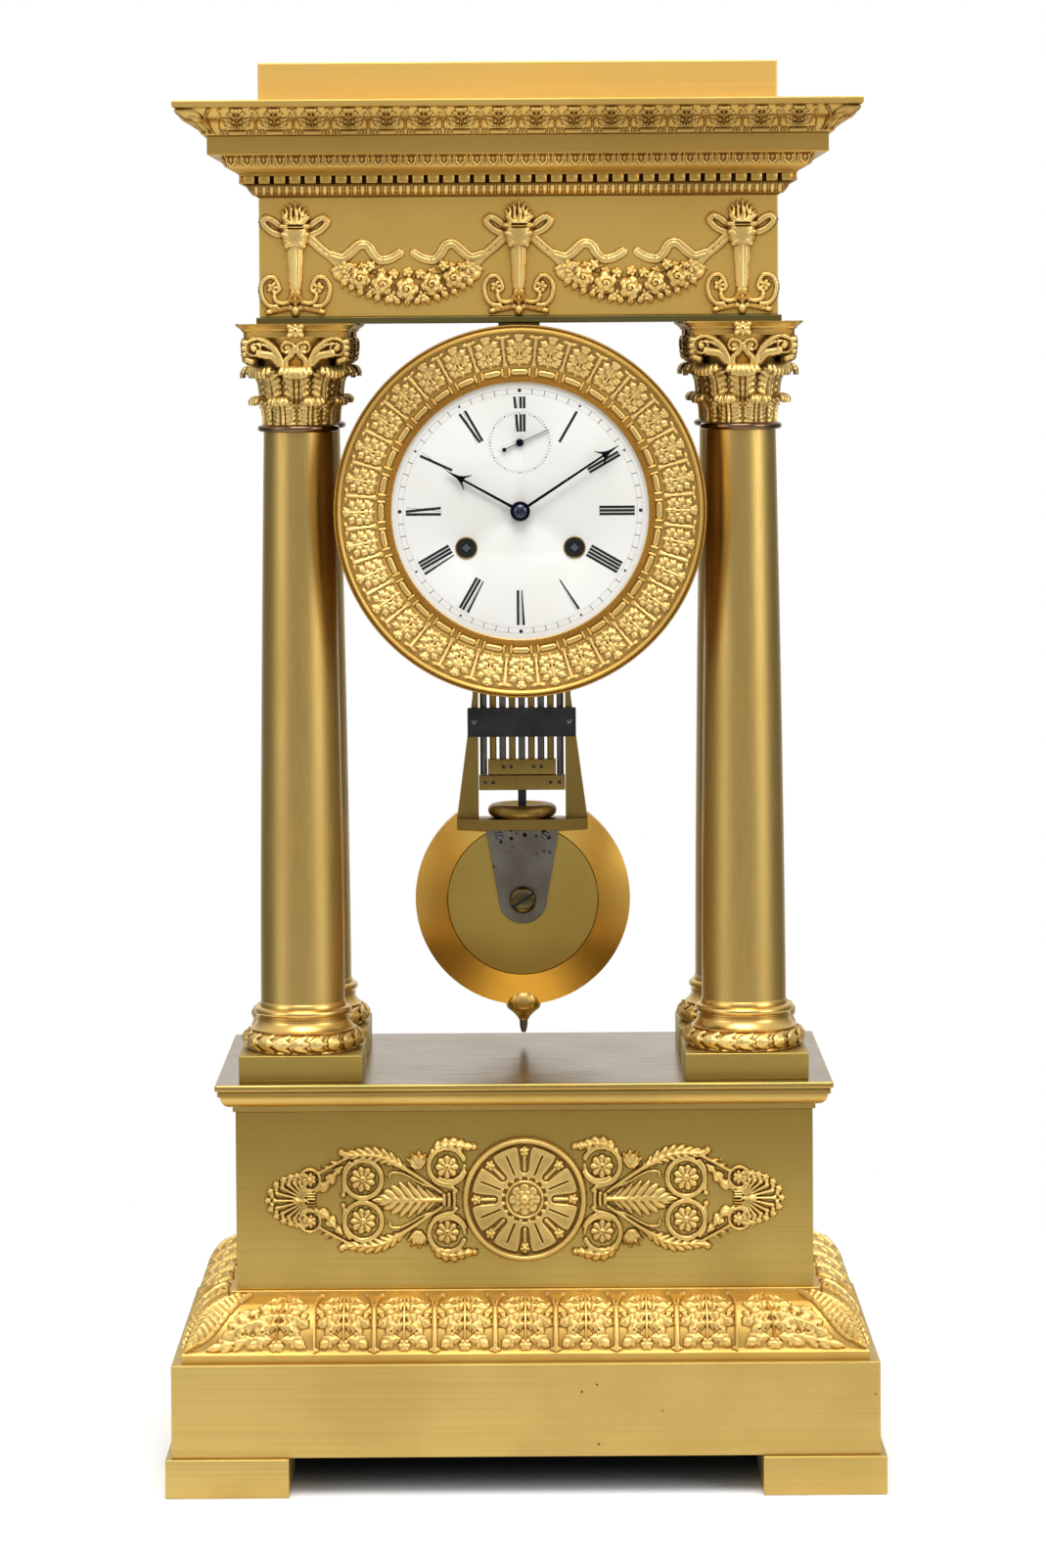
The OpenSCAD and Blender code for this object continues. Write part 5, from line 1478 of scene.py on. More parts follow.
class Face:
    """One side of a course: turns carved tiles and points to the front, the right or the left."""

    def __init__(self, turn, width, front):
        self.turn = turn
        self.wall = {0: (0.0, front), 90: (width / 2, 0.0), -90: (-width / 2, 0.0)}[turn]

    def points(self, pts):
        a = math.radians(self.turn)
        c, s = round(math.cos(a)), round(math.sin(a))
        x, y, z = pts.T
        return np.stack([x * c - y * s + self.wall[0], x * s + y * c + self.wall[1], z], 1)

    def row(self, tile, finish, first, pitch, count):
        start, after = self.points(np.array([[first, 0, 0], [first + pitch, 0, 0]], float))
        return row(tile.name + "_row", tile, count, finish, start, after - start, self.turn)


def course_faces(width, front):
    return Face(0, width, front), Face(90, width, front), Face(-90, width, front)


PEDESTAL_FACES = course_faces(PEDESTAL_W, PANEL_Y)
HEADING_FACES = course_faces(FRIEZE_W, FRIEZE_Y)


def tile_set(name, tile, finish, faces, pitch, front_count, side_first, side_count):
    """Rows of one tile on the front and both sides, as one piece."""
    front, right, left = faces
    rows = [front.row(tile, finish, -(front_count - 1) / 2 * pitch, pitch, front_count),
            right.row(tile, finish, side_first, pitch, side_count),
            left.row(tile, finish, -side_first, -pitch, side_count)]
    drop(tile)
    dress(joined(name, rows), finish)


def corner_set(name, carving, outline, finish, faces, back, wide, contrast):
    """A carving at each front corner of a course, on both its sides, mitred, as one piece."""
    front, right, left = faces
    front_end, side_end = right.wall[0], -front.wall[1]
    pieces = []
    for face, end, mirror in ((front, front_end, 1), (front, front_end, -1),
                              (left, side_end, 1), (right, side_end, -1)):
        put = outline.corner(end - back, end, mirror)
        place = lambda u, v, h, put=put, face=face: face.points(put(u / wide, v, h))
        pieces.append(carving.solid("corner", place, contrast=contrast))
    dress(joined(name, pieces), finish)


PLINTH_LOW, PLINTH_HIGH = levels("leaf_plinth")
PLINTH_REACH = PANEL_Y - span("leaf_plinth")[0][1]
PLINTH_FILLET = PLINTH_LOW + 4.0
PLINTH_CURVE = bulge(0, PLINTH_FILLET, PLINTH_REACH - 1.9, PLINTH_HIGH - PLINTH_FILLET - 2.4,
                     0.02, math.pi / 2 - 0.16, 40)
PLINTH = Outline(PLINTH_CURVE)
PLINTH_RUN = {0: 0.02, 0.1: 0.09, 0.3: 0.26, 0.5: 0.44, 0.63: 0.55, 0.8: 0.73, 0.9: 0.85, 1: 0.99}
PLINTH_TILE = 27.5
PLINTH_CORNER = PEDESTAL_W / 2 - 3.5 * PLINTH_TILE
LEAF_SPREAD = 1.14


def up_plinth(t):
    """How far along the plinth's curve a share of the leaf lies."""
    return PLINTH.length * float(np.interp(t, list(PLINTH_RUN), list(PLINTH_RUN.values())))


def carve_plinth_leaf(c, mid):
    """A hanging leaf: rib from the top, leaflets on both sides and a floret at the foot."""
    at = lambda u, t: (mid + u * LEAF_SPREAD, up_plinth(t))
    for s in (-1, 1):
        for rib, width, height, lobes, depth, swept in (
                (((0, 0.97), (3.2, 0.92), (7.8, 0.86)), 6.8, 1.4, 3, 0.36, 0.9),
                (((0, 0.84), (3.6, 0.76), (10.2, 0.8)), 8.0, 1.6, 3, 0.36, 0.9),
                (((0, 0.62), (4.8, 0.6), (10.8, 0.42)), 11.0, 1.9, 4, 0.42, 0.8),
                (((0, 0.45), (4.2, 0.42), (7.2, 0.26)), 7.4, 1.8, 3, 0.38, 0.8),
                (((1.5, 0.22), (5.4, 0.2), (9.8, 0.06)), 7.0, 1.4, 3, 0.38, 0.8)):
            c.leaf([at(s * u, t) for u, t in rib], width, height, lobes, depth, sweep=swept)
        for u, t, r in ((4.0, 0.72, 0.5), (7.6, 0.6, 0.55), (9.8, 0.68, 0.5), (5.0, 0.33, 0.5),
                        (8.8, 0.27, 0.45), (3.4, 0.14, 0.45)):
            c.hole(*at(s * u, t), r)
    c.stroke([at(0, 0.2), at(0, 0.96)], 1.3, 2.3, (0.8, 1.0))
    c.flower(*at(0, 0.1), 3.0, 6, 1.7, boss=0.34)
    c.hole(*at(0, 0.95), 0.5)


def carve_plinth_stem(c, mid):
    """A forked stem with a bell foot."""
    at = lambda u, t: (mid + u, up_plinth(t))
    c.stroke([at(0, 0.12), at(0, 0.72)], 2.6, 2.4)
    for d in (-1, 1):
        fork = [at(d * u, t) for u, t in ((0, 0.66), (0.9, 0.84), (2.6, 0.97), (4.2, 1.0))]
        c.stroke(fork, 1.8, 2.0, (1.0, 0.7))
    c.stroke([at(0, 0.02), at(0, 0.16)], 3.6, 2.2, (1.0, 0.45))
    c.stroke([at(-2.0, 0.015), at(2.0, 0.015)], 1.5, 1.6)


def make_plinth_ground():
    end = PLINTH_REACH
    ground = lifted(PLINTH_LOW, (end - 0.3, 0), (end, 0.3), (end, 3.6), (end - 0.4, 4.0))
    ground += [(p - 0.2, z) for p, z in PLINTH_CURVE[1:-1]]
    ground += lifted(PLINTH_HIGH, (2.6, -2.5), (2.6, -0.25), (2.3, 0), (0, 0))
    dress(sweep("leaf_plinth_ground", *PEDESTAL, ground), LEAF_GROUND, ["leaf_plinth"])


def make_plinth_leaves():
    half = PLINTH_TILE / 2
    c = Carving(-half, half, 0, PLINTH.length, 0.5)
    carve_plinth_leaf(c, 0)
    for s in (-1, 1):
        carve_plinth_stem(c, s * half)
    tile = c.solid("plinth_leaf", PLINTH.straight, contrast=2.1)
    first = PANEL_Y + PLINTH_CORNER + half
    tile_set("plinth_leaves", tile, PLINTH_CARVED, PEDESTAL_FACES, PLINTH_TILE, 7, first, 4)


def make_plinth_corners():
    """A leaf, three broken leaves and a fern that runs up the mitre."""
    wide = PLINTH_CORNER + 13.0
    k = Carving(0, wide, 0, PLINTH.length, 0.5)
    carve_plinth_leaf(k, wide * 0.29)
    at = lambda q, t: (wide * q, up_plinth(t))
    k.leaf([at(0.42, 0.5), at(0.56, 0.44), at(0.72, 0.2)], 13, 2.2, 4, 0.45, sweep=0.8)
    k.leaf([at(0.46, 0.24), at(0.6, 0.16), at(0.84, 0.03)], 8.5, 1.8, 4, 0.45, sweep=0.8)
    k.leaf([at(0.5, 0.7), at(0.6, 0.66), at(0.68, 0.5)], 8, 1.9, 3, 0.45, sweep=0.8)
    fern = smooth_line([at(0.87, 1.0), at(0.885, 0.6), at(0.915, 0.3), at(0.985, 0.02)], 14)
    k.leaf(fern, 13.5, 2.4, 13, 0.12, fullness=0.35, ends=(0.75, 0.1), sweep=1.6)
    stalk = smooth_line([at(0.74, 1.0), at(0.765, 0.55), at(0.83, 0.25), at(0.98, 0.02)], 12)
    k.stroke(stalk, 1.6, 2.5, (1.0, 0.6))
    for q, t, r in ((0.56, 0.3, 0.7), (0.64, 0.38, 0.6), (0.62, 0.12, 0.55), (0.56, 0.6, 0.5)):
        k.hole(*at(q, t), r)
    corner_set("plinth_corner_leaves", k, PLINTH, PLINTH_CARVED, PEDESTAL_FACES, PLINTH_CORNER, wide, 2.1)


CYMA = Outline(CYMA_CURVE)
CYMA_TILE = 16.87
CYMA_TILES = 16
CYMA_OUT = 29
CYMA_BEAD = 2.6


def around_heading(name, tile, finish, pitch, count, out):
    """A tile along the front and both sides of the heading; out is how far its course stands out."""
    run = (count - 1) / 2 * pitch
    first = FRIEZE_Y - out + (FRIEZE_W / 2 + out - run)
    side_count = int((FRIEZE_BACK - first) / pitch + 0.55)
    tile_set(name, tile, finish, HEADING_FACES, pitch, count, first, side_count)


def make_cyma_leaves():
    """A split leaf with curled lobes between two flowered stems."""
    w = CYMA_TILE / 2
    c = Carving(-w, w, CYMA_BEAD, CYMA.length, 0.38)
    at = lambda u, t: (u, CYMA_BEAD + (CYMA.length - CYMA_BEAD) * t)
    for s in (-1, 1):
        c.leaf([at(s * 0.6, 0.1), at(s * 3.2, 0.16), at(s * 6.0, 0.34)], 3.4, 1.0, 3, 0.4, sweep=0.8)
        c.leaf([at(s * 0.8, 0.34), at(s * 3.4, 0.46), at(s * 6.3, 0.6)], 3.6, 1.2, 3, 0.4, sweep=0.8)
        c.leaf([at(s * 0.5, 0.6), at(s * 2.4, 0.78), at(s * 4.6, 0.74)], 3.0, 1.2, 2, 0.35)
        c.stroke([at(0, 0.5), at(s * 0.75, 0.1)], 0.85, 1.9, (1.0, 1.2))
        c.dome(*at(s * 1.6, 0.92), 1.35, 1.7)
        c.hole(*at(s * 1.75, 0.42), 0.62, 0.02)
        c.stroke([at(s * w, 0.05), at(s * w, 0.55)], 1.1, 0.9)
        c.flower(*at(s * w, 0.74), 1.9, 5, 1.3, phase=90)
        c.stroke([at(s * (w - 1.6), 0.96), at(s * w, 0.9)], 0.9, 1.2)
        c.hole(*at(s * (w - 1.3), 0.36), 0.5, 0.02)
    c.stroke([at(0, 0.5), at(0, 0.95)], 1.2, 1.6)
    tile = c.solid("cyma_leaf", CYMA.straight, contrast=0.8)
    around_heading("cyma_leaves", tile, CYMA_CARVED, CYMA_TILE, CYMA_TILES, CYMA_OUT)


def make_cyma_beads():
    """A long bead between two pairs of short upright ones."""
    w = CYMA_TILE / 2
    b = Carving(-w, w, 0.15, 2.5, 0.3)
    b.stroke([(-3.4, 1.3), (3.4, 1.3)], 2.1, 1.2)
    for u in (-7.0, -5.4, 5.4, 7.0):
        b.stroke([(u, 0.5), (u, 2.1)], 1.1, 1.3)
    tile = b.solid("cyma_bead", CYMA.straight, contrast=0.8)
    around_heading("cyma_beads", tile, CYMA_CARVED, CYMA_TILE, CYMA_TILES, CYMA_OUT)


def make_cyma_corners():
    """A plain leaf over each mitre with a stem beside it."""
    wide, low = 16, 0.3
    k = Carving(0, wide, low, CYMA.length, 0.4)
    at = lambda q, t: (wide * q, low + (CYMA.length - low) * t)
    leaf = smooth_line([at(0.98, 0.98), at(0.7, 0.75), at(0.62, 0.4), at(0.7, 0.08)], 12)
    k.leaf(leaf, 8.5, 1.5, 2, 0.1, fullness=0.5, ends=(0.5, 0.4))
    k.stroke(smooth_line([at(0.2, 0.98), at(0.36, 0.72), at(0.42, 0.4), at(0.4, 0.06)], 12), 1.1, 1.7)
    k.stroke([at(0.3, 0.04), at(1.0, 0.04)], 1.2, 1.2)
    back = FRIEZE_W / 2 - CYMA_TILES / 2 * CYMA_TILE
    corner_set("cyma_corner_leaves", k, CYMA, CYMA_CARVED, HEADING_FACES, back, wide, 0.8)


def make_tongues():
    """Small ribbed tongues in the hollow of the corona."""
    hollow = Outline(CAVETTO_CURVE)
    pitch = 7.44
    w, low, high = pitch / 2, hollow.length - 5.0, hollow.length
    t = Carving(-w, w, low, high, 0.42)
    rim = [(-1.75, high), (-1.75, low + 2.0), (0, low + 0.5), (1.75, low + 2.0), (1.75, high)]
    t.stroke(smooth_line(rim, 18), 1.2, 1.1)
    t.stroke([(0, high), (0, low + 2.2)], 1.4, 1.5, (1.0, 0.8))
    for s in (-1, 1):
        t.stroke([(s * w, high), (s * w, low + 1.6)], 1.0, 1.0, (1.0, 0.3))
    tile = t.solid("tongue", hollow.straight, contrast=0.9)
    around_heading("cavetto_tongues", tile, ORNAMENT, pitch, 36, 14)


def make_dentils():
    tooth = slab("dentil", (-2.55, -8.5, DENTIL_LOW + 0.25), (2.55, -6.4, DENTIL_HIGH - 0.6), 0.2, 1)
    around_heading("dentil_teeth", tooth, COURSE, 7.0, 36, 8.5)


def make_eggs():
    """Long eggs with a thin upright between each two."""
    curve = lifted(EGG_LOW, (0.6, 0.5), (1.8, 1.4), (3.2, 3.1)) + lifted(EGG_HIGH, (4.5, -1.2), (5.0, -0.4))
    outline = Outline(curve)
    length, pitch = outline.length, 3.46
    e = Carving(-pitch / 2, pitch / 2, 0.2, length, pitch / 6)
    e.dome(0, length * 0.52, 2.9, 1.15, squash=0.42, turn=90)
    for s in (-1, 1):
        e.stroke([(s * pitch / 2, 0.9), (s * pitch / 2, length * 0.9)], 0.7, 0.55)
    around_heading("eggs", e.solid("egg", outline.straight, contrast=0.8), ORNAMENT, pitch, 70, 3.4)


make_plinth_ground()
make_plinth_leaves()
make_plinth_corners()
make_cyma_leaves()
make_cyma_beads()
make_cyma_corners()
make_tongues()
make_dentils()
make_eggs()


# Mounts: medallion and scrolls on the pedestal, torches and garlands on the frieze

MEDALLION_LOW, MEDALLION_HIGH = span("medallion_mount")
MEDALLION_R = (MEDALLION_HIGH[0] - MEDALLION_LOW[0]) / 2
MEDALLION_Z = (MEDALLION_LOW[2] + MEDALLION_HIGH[2]) / 2
TORCH_X = COLUMNS[2][0]
EIGHTH = TAU / 8
FRONDS = 13
FAN_U, FAN_ROOT, FAN_LONG, FAN_WIDE = 99.6, 2.0, 19.6, 13.4
FAN_ANGLE = math.radians(82)


def carve_petals(c):
    """Eight broad petals with a keyhole between each two, inside a round rim."""
    u, v = c.grid()
    far, turn = np.hypot(u, v), np.arctan2(v, u)
    off = (turn + EIGHTH / 2) % EIGHTH - EIGHTH / 2
    across = far * np.sin(np.abs(off))
    along = far * np.cos(off) - 14.2
    field = np.where(far < 26.4, 1.0, 0.0)
    keyhole = np.hypot(across, np.minimum(along, 0)) - 1.7 - 0.1 * np.clip(along, 0, 20)
    petal_edge = np.minimum(keyhole, 24.7 - far - 1.5 * np.clip(1.6 - keyhole, 0, 1.6) ** 2)
    petal = 1.0 + 1.15 * np.sqrt(np.clip(petal_edge / 0.8, 0, 1)) - 0.35 * np.clip(petal_edge / 5, 0, 1)
    c.h = np.where((far > 10.5) & (petal_edge > 0), petal, field)
    rim = np.clip(1 - ((far - 27.0) / 1.5) ** 2, 0, 1)
    c.h = np.maximum(c.h, np.where(far < 28.6, 0.8 + 2.6 * np.sqrt(rim), 0) * (far > 25.3))


def make_medallion():
    """Slit petals, budding stems between them and a rosette in a sunburst."""
    c = Carving(-MEDALLION_R, MEDALLION_R, -MEDALLION_R, MEDALLION_R, 0.36)
    carve_petals(c)
    for k in range(8):
        a = k * EIGHTH
        ray = lambda r, da=0.0: (r * math.cos(a + da), r * math.sin(a + da))
        c.stroke([ray(13.6), ray(19.5)], 1.5, 1.2, base=0.9)
        c.stroke([ray(13.8), ray(16.4)], 2.3, 1.3, (0.9, 0.6), base=0.9)
        c.flower(*ray(22.3), 2.5, 5, 2.4, boss=0.4, base=0.9, phase=math.degrees(a))
        c.cut([ray(12.2, EIGHTH / 2), ray(21.5, EIGHTH / 2)], 0.75, 1.5, 0.5)
        for d in (-1, 1):
            c.hole(*ray(18.3, d * 0.075), 0.5, 0.25)
    for k in range(16):
        a = (k + 0.5) * TAU / 16
        c.dome(10.4 * math.cos(a), 10.4 * math.sin(a), 1.75, 1.2, 1.0, 0.6, math.degrees(a))
    c.stroke(spiral((0, 0), 8.3, 8.3, 0, 360, 64), 1.1, 1.1, base=1.4)
    c.h = np.maximum(c.h, np.where(np.hypot(*c.grid()) < 8.2, 1.5, 0))
    c.flower(0, 0, 7.3, 8, 1.2, boss=0.01, base=1.5)
    c.flower(0, 0, 4.4, 8, 1.0, boss=0.01, base=2.2, phase=22.5)
    c.dome(0, 0, 2.3, 1.7, 2.6)
    piece = c.solid("medallion_carved", on_wall(PANEL_Y, MEDALLION_Z), contrast=1.3)
    dress(piece, PANEL_CARVED, ["medallion_mount"])


def carve_scroll_half(c, s):
    """The upper (1) or lower (-1) half of a scroll mount; u grows away from the medallion."""
    at = lambda *points: [(u, s * v) for u, v in points]
    line = lambda *points: smooth_line(at(*points), 16)
    inner, outer, small = (35.4, 15.6), (74.0, 9.6), (98.4, 9.6)
    c.stroke(at(*spiral(inner, 8.6, 8.2, -158, 158)), 2.6, 2.2)
    c.stroke(at(*spiral(inner, 6.6, 8.0, 300, 180)), 1.9, 1.8)
    c.flower(inner[0], s * (inner[1] - 0.6), 5.7, 8, 2.6, boss=0.28)
    c.hole(inner[0], s * (inner[1] - 0.6), 0.55, 1.2)
    back = line((42.6, 20.6), (38.6, 24.4), (33.6, 25.6), (28.6, 24.8), (23.4, 24.0))
    c.leaf(back, 7.0, 2.6, 6, 0.3, fullness=0.45, ends=(0.4, 0.45))
    c.dome(23.0, s * 24.2, 1.7, 2.5)
    c.stroke(line((42.6, 11.6), (41.0, 8.4), (37.2, 6.6), (33.0, 5.6), (31.0, 4.0)), 1.9, 2.3)
    for tip in ((45.4, 20.8), (48.4, 22.2), (51.8, 21.4), (53.6, 18.6), (52.0, 15.8)):
        c.leaf(at((47.4, 14.6), tip), 3.3, 2.3, 1, 0.1, ends=(0.4, 0.4))
    c.stroke(line((38.0, 3.4), (46.0, 8.8), (54.0, 14.0), (62.0, 18.2)), 2.0, 2.3, (0.8, 1.2))
    tendril = line((40.0, 4.8), (47.0, 7.4), (52.4, 10.6), (57.0, 12.6), (61.4, 12.4), (61.8, 10.2))
    c.stroke(tendril, 1.3, 1.9, (0.8, 1.0))
    crest = line((55.0, 15.0), (62.4, 19.0), (70.0, 20.9), (77.0, 20.8), (83.4, 21.2))
    c.leaf(crest, 8.2, 2.7, 8, 0.3, fullness=0.5, ends=(0.35, 0.35), sweep=1.2)
    c.dome(83.8, s * 22.0, 1.8, 2.5)
    c.stroke(at(*spiral(outer, 8.8, 8.4, 70, 430)), 2.5, 2.2, (1.1, 1.0))
    c.flower(outer[0], s * outer[1], 6.3, 9, 2.6, boss=0.26)
    c.hole(outer[0], s * outer[1], 0.5, 1.4)
    c.stroke(line((80.0, 17.6), (82.4, 14.0), (83.0, 8.6), (82.6, 3.6)), 1.6, 2.1, (1.0, 0.8))
    c.dome(83.0, s * 2.4, 1.45, 2.2)
    c.stroke(line((80.6, 19.8), (87.0, 16.4), (93.4, 12.8)), 1.7, 2.1)
    for fork, tip in (((85.6, 17.2), (90.2, 18.0)), ((88.6, 15.6), (93.0, 15.6))):
        c.stroke(at(fork, tip), 1.3, 1.9, (1.0, 0.4))
    c.leaf(line((83.6, 15.4), (87.6, 11.2), (91.6, 6.4), (95.4, 4.4)), 6.2, 2.4, 3, 0.45, ends=(0.4, 0.5))
    c.leaf(at((87.0, 10.6), (91.6, 11.2)), 2.4, 2.0, 1, 0.1)
    c.hole(88.4, s * 12.8, 0.6)
    c.stroke(at(*spiral(small, 4.6, 5.2, 20, 320, 24)), 1.6, 2.1)
    c.flower(small[0], s * small[1], 3.5, 7, 2.5, boss=0.34)
    c.stroke(line((101.8, 6.6), (99.6, 5.2), (96.8, 4.8), (93.4, 6.0)), 1.3, 2.0)
    for d in (0.8, 2.0, 3.2):
        c.stroke(at((96.0, d), (99.4, d)), 1.0, 2.1)


def on_frond(k, inset, r=None):
    """A point on a frond of the fan, at a distance inside the fan's rim or at a radius."""
    a = (k / (FRONDS - 1) * 2 - 1) * FAN_ANGLE
    if r is None:
        r = 1 / math.hypot(math.cos(a) / FAN_LONG, math.sin(a) / FAN_WIDE) - inset
    return FAN_U + r * math.cos(a), r * math.sin(a)


def carve_scroll():
    """A scroll mount: cuff, palm leaf, branching scrolls with flowers, and a fan at the outer end."""
    c = Carving(20.0, 120.0, -30.0, 30.0, 0.42)
    for s in (-1, 1):
        carve_scroll_half(c, s)
        for u in (32.0, 34.4, 36.6):
            c.stroke([(u, 0), (u + 0.2, s * (3.4 - 0.3 * (u - 32)))], 2.0, 2.6)
    c.leaf([(39.0, 0), (70.0, 0)], 17.0, 2.1, 8, 0.34, fullness=0.5, ends=(0.3, 0.05), sweep=1.7)
    c.stroke([(38.0, 0), (69.5, 0)], 1.5, 2.8, (1.2, 0.5))
    c.cut([(38.0, 0), (68.0, 0)], 0.5, 0.9)
    for k in range(FRONDS):
        c.stroke([on_frond(k, 0, FAN_ROOT), on_frond(k, 5.4)], 1.7, 2.1, (0.55, 1.0))
        c.dome(*on_frond(k, 4.9), 1.35, 2.0)
        c.flower(*on_frond(k, 1.8), 1.75, 5, 2.1, boss=0.4)
    for k in range(FRONDS - 1):
        c.dome(*on_frond(k + 0.5, 3.4), 1.2, 1.8)
    c.leaf([(99.0, 0), (107.5, 0)], 4.4, 2.5, 2, 0.2)
    return c


def make_scrolls():
    c = carve_scroll()
    for node, side in (("scroll_mount_left", -1), ("scroll_mount_right", 1)):
        piece = c.solid(node + "_carved", on_wall(PANEL_Y, MEDALLION_Z, side=side), contrast=1.2)
        dress(piece, PANEL_CARVED, [node])


def carve_flames(c):
    """Seven flames, and four higher ones in front of them."""
    for u, v in ((-5.9, 48.4), (-4.6, 50.6), (-2.3, 51.6), (0.4, 52.4), (2.9, 51.4), (4.8, 49.8),
                 (5.9, 47.6)):
        flame = [(u * 0.45, 42.5), (u * 0.95 + 0.5, 45.4), (u * 0.78, v - 2.4), (u, v)]
        c.stroke(smooth_line(flame, 10), 2.5, 3.6, (1.3, 0.4))
    for u, v in ((-3.4, 48.4), (-1.0, 50.0), (1.6, 49.6), (3.6, 47.8)):
        flame = [(u * 0.5, 42.6), (u * 1.1 - 0.6, 45.6), (u, v)]
        c.stroke(smooth_line(flame, 10), 1.9, 4.4, (1.3, 0.4))


def carve_torch_shaft(c):
    """The banded cup and the fluted, tapered shaft under it."""
    c.stroke([(0, 36.5), (0, 40.6)], 12.8, 4.4)
    c.stroke([(-6.2, 41.5), (6.2, 41.5)], 2.2, 2.6, base=2.0)
    for v in (41.9, 40.5):
        c.cut([(-3.0, v), (3.6, v)], 0.75, 3.4, 0.6)
    foot = 12.4
    where, u, v = c.window((-5, foot), (5, 40))
    half = 2.9 + (v - foot) * 0.05
    x = np.clip(np.abs(u) / half, 0, 1)
    flute = 0.35 * np.abs(np.cos(u / half * math.pi * 2.0))
    c.raise_to(where, np.where(x < 1, 3.4 * np.sqrt(1 - 0.86 * x ** 2) + flute, 0))


def carve_torch():
    """A torch: flame, cup, bow, crossed ribbon, shaft, leaf cup and drop, with scrolls at the foot."""
    c = Carving(-17.5, 17.5, 0.1, 53.5, 0.36)
    carve_flames(c)
    carve_torch_shaft(c)
    for s in (-1, 1):
        c.stroke([(s * -5.4, 37.8), (s * 3.9, 32.4)], 2.2, 1.0, base=3.4)
        c.stroke(soft_curve(s, 30, (5.6, 40.6), (9.4, 43.8), (12.9, 45.4), (14.8, 43.4), (12.2, 40.2),
                            (8.6, 38.2), (4.8, 37.6)), 3.3, 1.9)
        c.stroke([(s * 12.9, 45.4), (s * 14.8, 43.6)], 3.0, 2.4)
        c.stroke(soft_curve(-s, 30, (8.0, 15.6), (10.2, 18.4), (13.8, 17.6), (15.7, 13.6), (14.9, 8.6),
                            (12.2, 5.4), (8.6, 5.0)), 2.3, 2.4, (0.9, 1.1))
        c.stroke(soft_curve(-s, 10, (8.0, 15.6), (7.2, 12.6), (9.6, 10.9)), 1.8, 2.2)
        c.flower(s * 10.4, 13.6, 2.9, 5, 2.6, boss=0.4)
        c.hole(s * 10.4, 13.6, 0.5, 1.4)
        c.stroke(soft_curve(s, 14, (2.2, 7.4), (6.0, 6.4), (8.8, 7.4), (9.6, 9.2)), 2.3, 2.9)
        c.dome(s * 9.7, 9.4, 1.3, 3.0)
        c.stroke([(s * 2.2, 4.6), (s * 11.8, 2.7)], 2.9, 2.7)
        for k in range(7):
            u = 3.6 + 1.25 * k
            c.cut([(s * (u - 0.7), 5.5 - 0.2 * k), (s * (u + 0.7), 2.4 - 0.2 * k)], 0.55, 0.8)
        c.dome(s * 12.3, 2.5, 1.6, 3.0)
        c.leaf([(s * 0.4, 11.4), (s * 2.2, 8.6), (s * 2.9, 5.6)], 3.4, 4.2, 2, 0.2, ends=(0.7, 0.3))
    c.cut([(-3.0, 12.3), (3.0, 12.3)], 0.8, 4.0, 0.4)
    c.stroke([(0, 11.0), (0, 7.0)], 6.0, 3.6, (0.95, 0.7))
    c.leaf([(0, 11.6), (0, 5.4)], 4.0, 4.6, 2, 0.2, ends=(0.8, 0.2))
    c.dome(0, 3.1, 2.9, 3.9, squash=0.78, turn=90)
    return c


def carve_rose(c, u, v, r, turn=0.0):
    """A full rose: a ring of broad petals, a second ring, a curled heart."""
    base = 1.6
    c.dome(u, v, r * 0.9, 1.3, base)
    c.flower(u, v, r, 5, 2.3, boss=0.01, phase=turn, base=base)
    c.flower(u, v, r * 0.74, 5, 1.7, boss=0.01, phase=turn + 36, base=base + 1.5)
    c.dome(u, v, r * 0.46, 1.2, base + 2.4)
    c.stroke(spiral((u, v), r * 0.5, r * 0.3, turn, turn + 200, 14), 0.8, 1.0, base=base + 2.5)
    c.cut(spiral((u, v), r * 0.42, r * 0.08, turn + 60, turn + 420, 18), 0.6, 1.3)


def carve_ribbons(c, s):
    """The tie at one end of a garland and the waving ribbon above it."""
    band = soft_curve(s, 16, (44.6, 36.2), (39.6, 31.6), (34.6, 27.4), (31.6, 24.0))
    c.stroke(band, 4.4, 1.4, (1.1, 0.9))
    for u, v in band[3:13:3]:
        c.cut([(u - 1.6, v - 1.2 * s), (u + 1.6, v + 1.2 * s)], 0.7, 0.5)
    wave = ((34.6, 28.0), (29.6, 26.8), (25.6, 29.6), (21.6, 33.0), (17.8, 32.4), (15.4, 28.6),
            (12.4, 25.9), (7.6, 26.6), (3.4, 29.0))
    c.stroke(soft_curve(s, 40, *wave), 5.0, 1.3, (1.0, 0.85))
    c.cut(soft_curve(s, 40, *((u - 0.3, v + 0.7) for u, v in wave)), 0.8, 0.5)


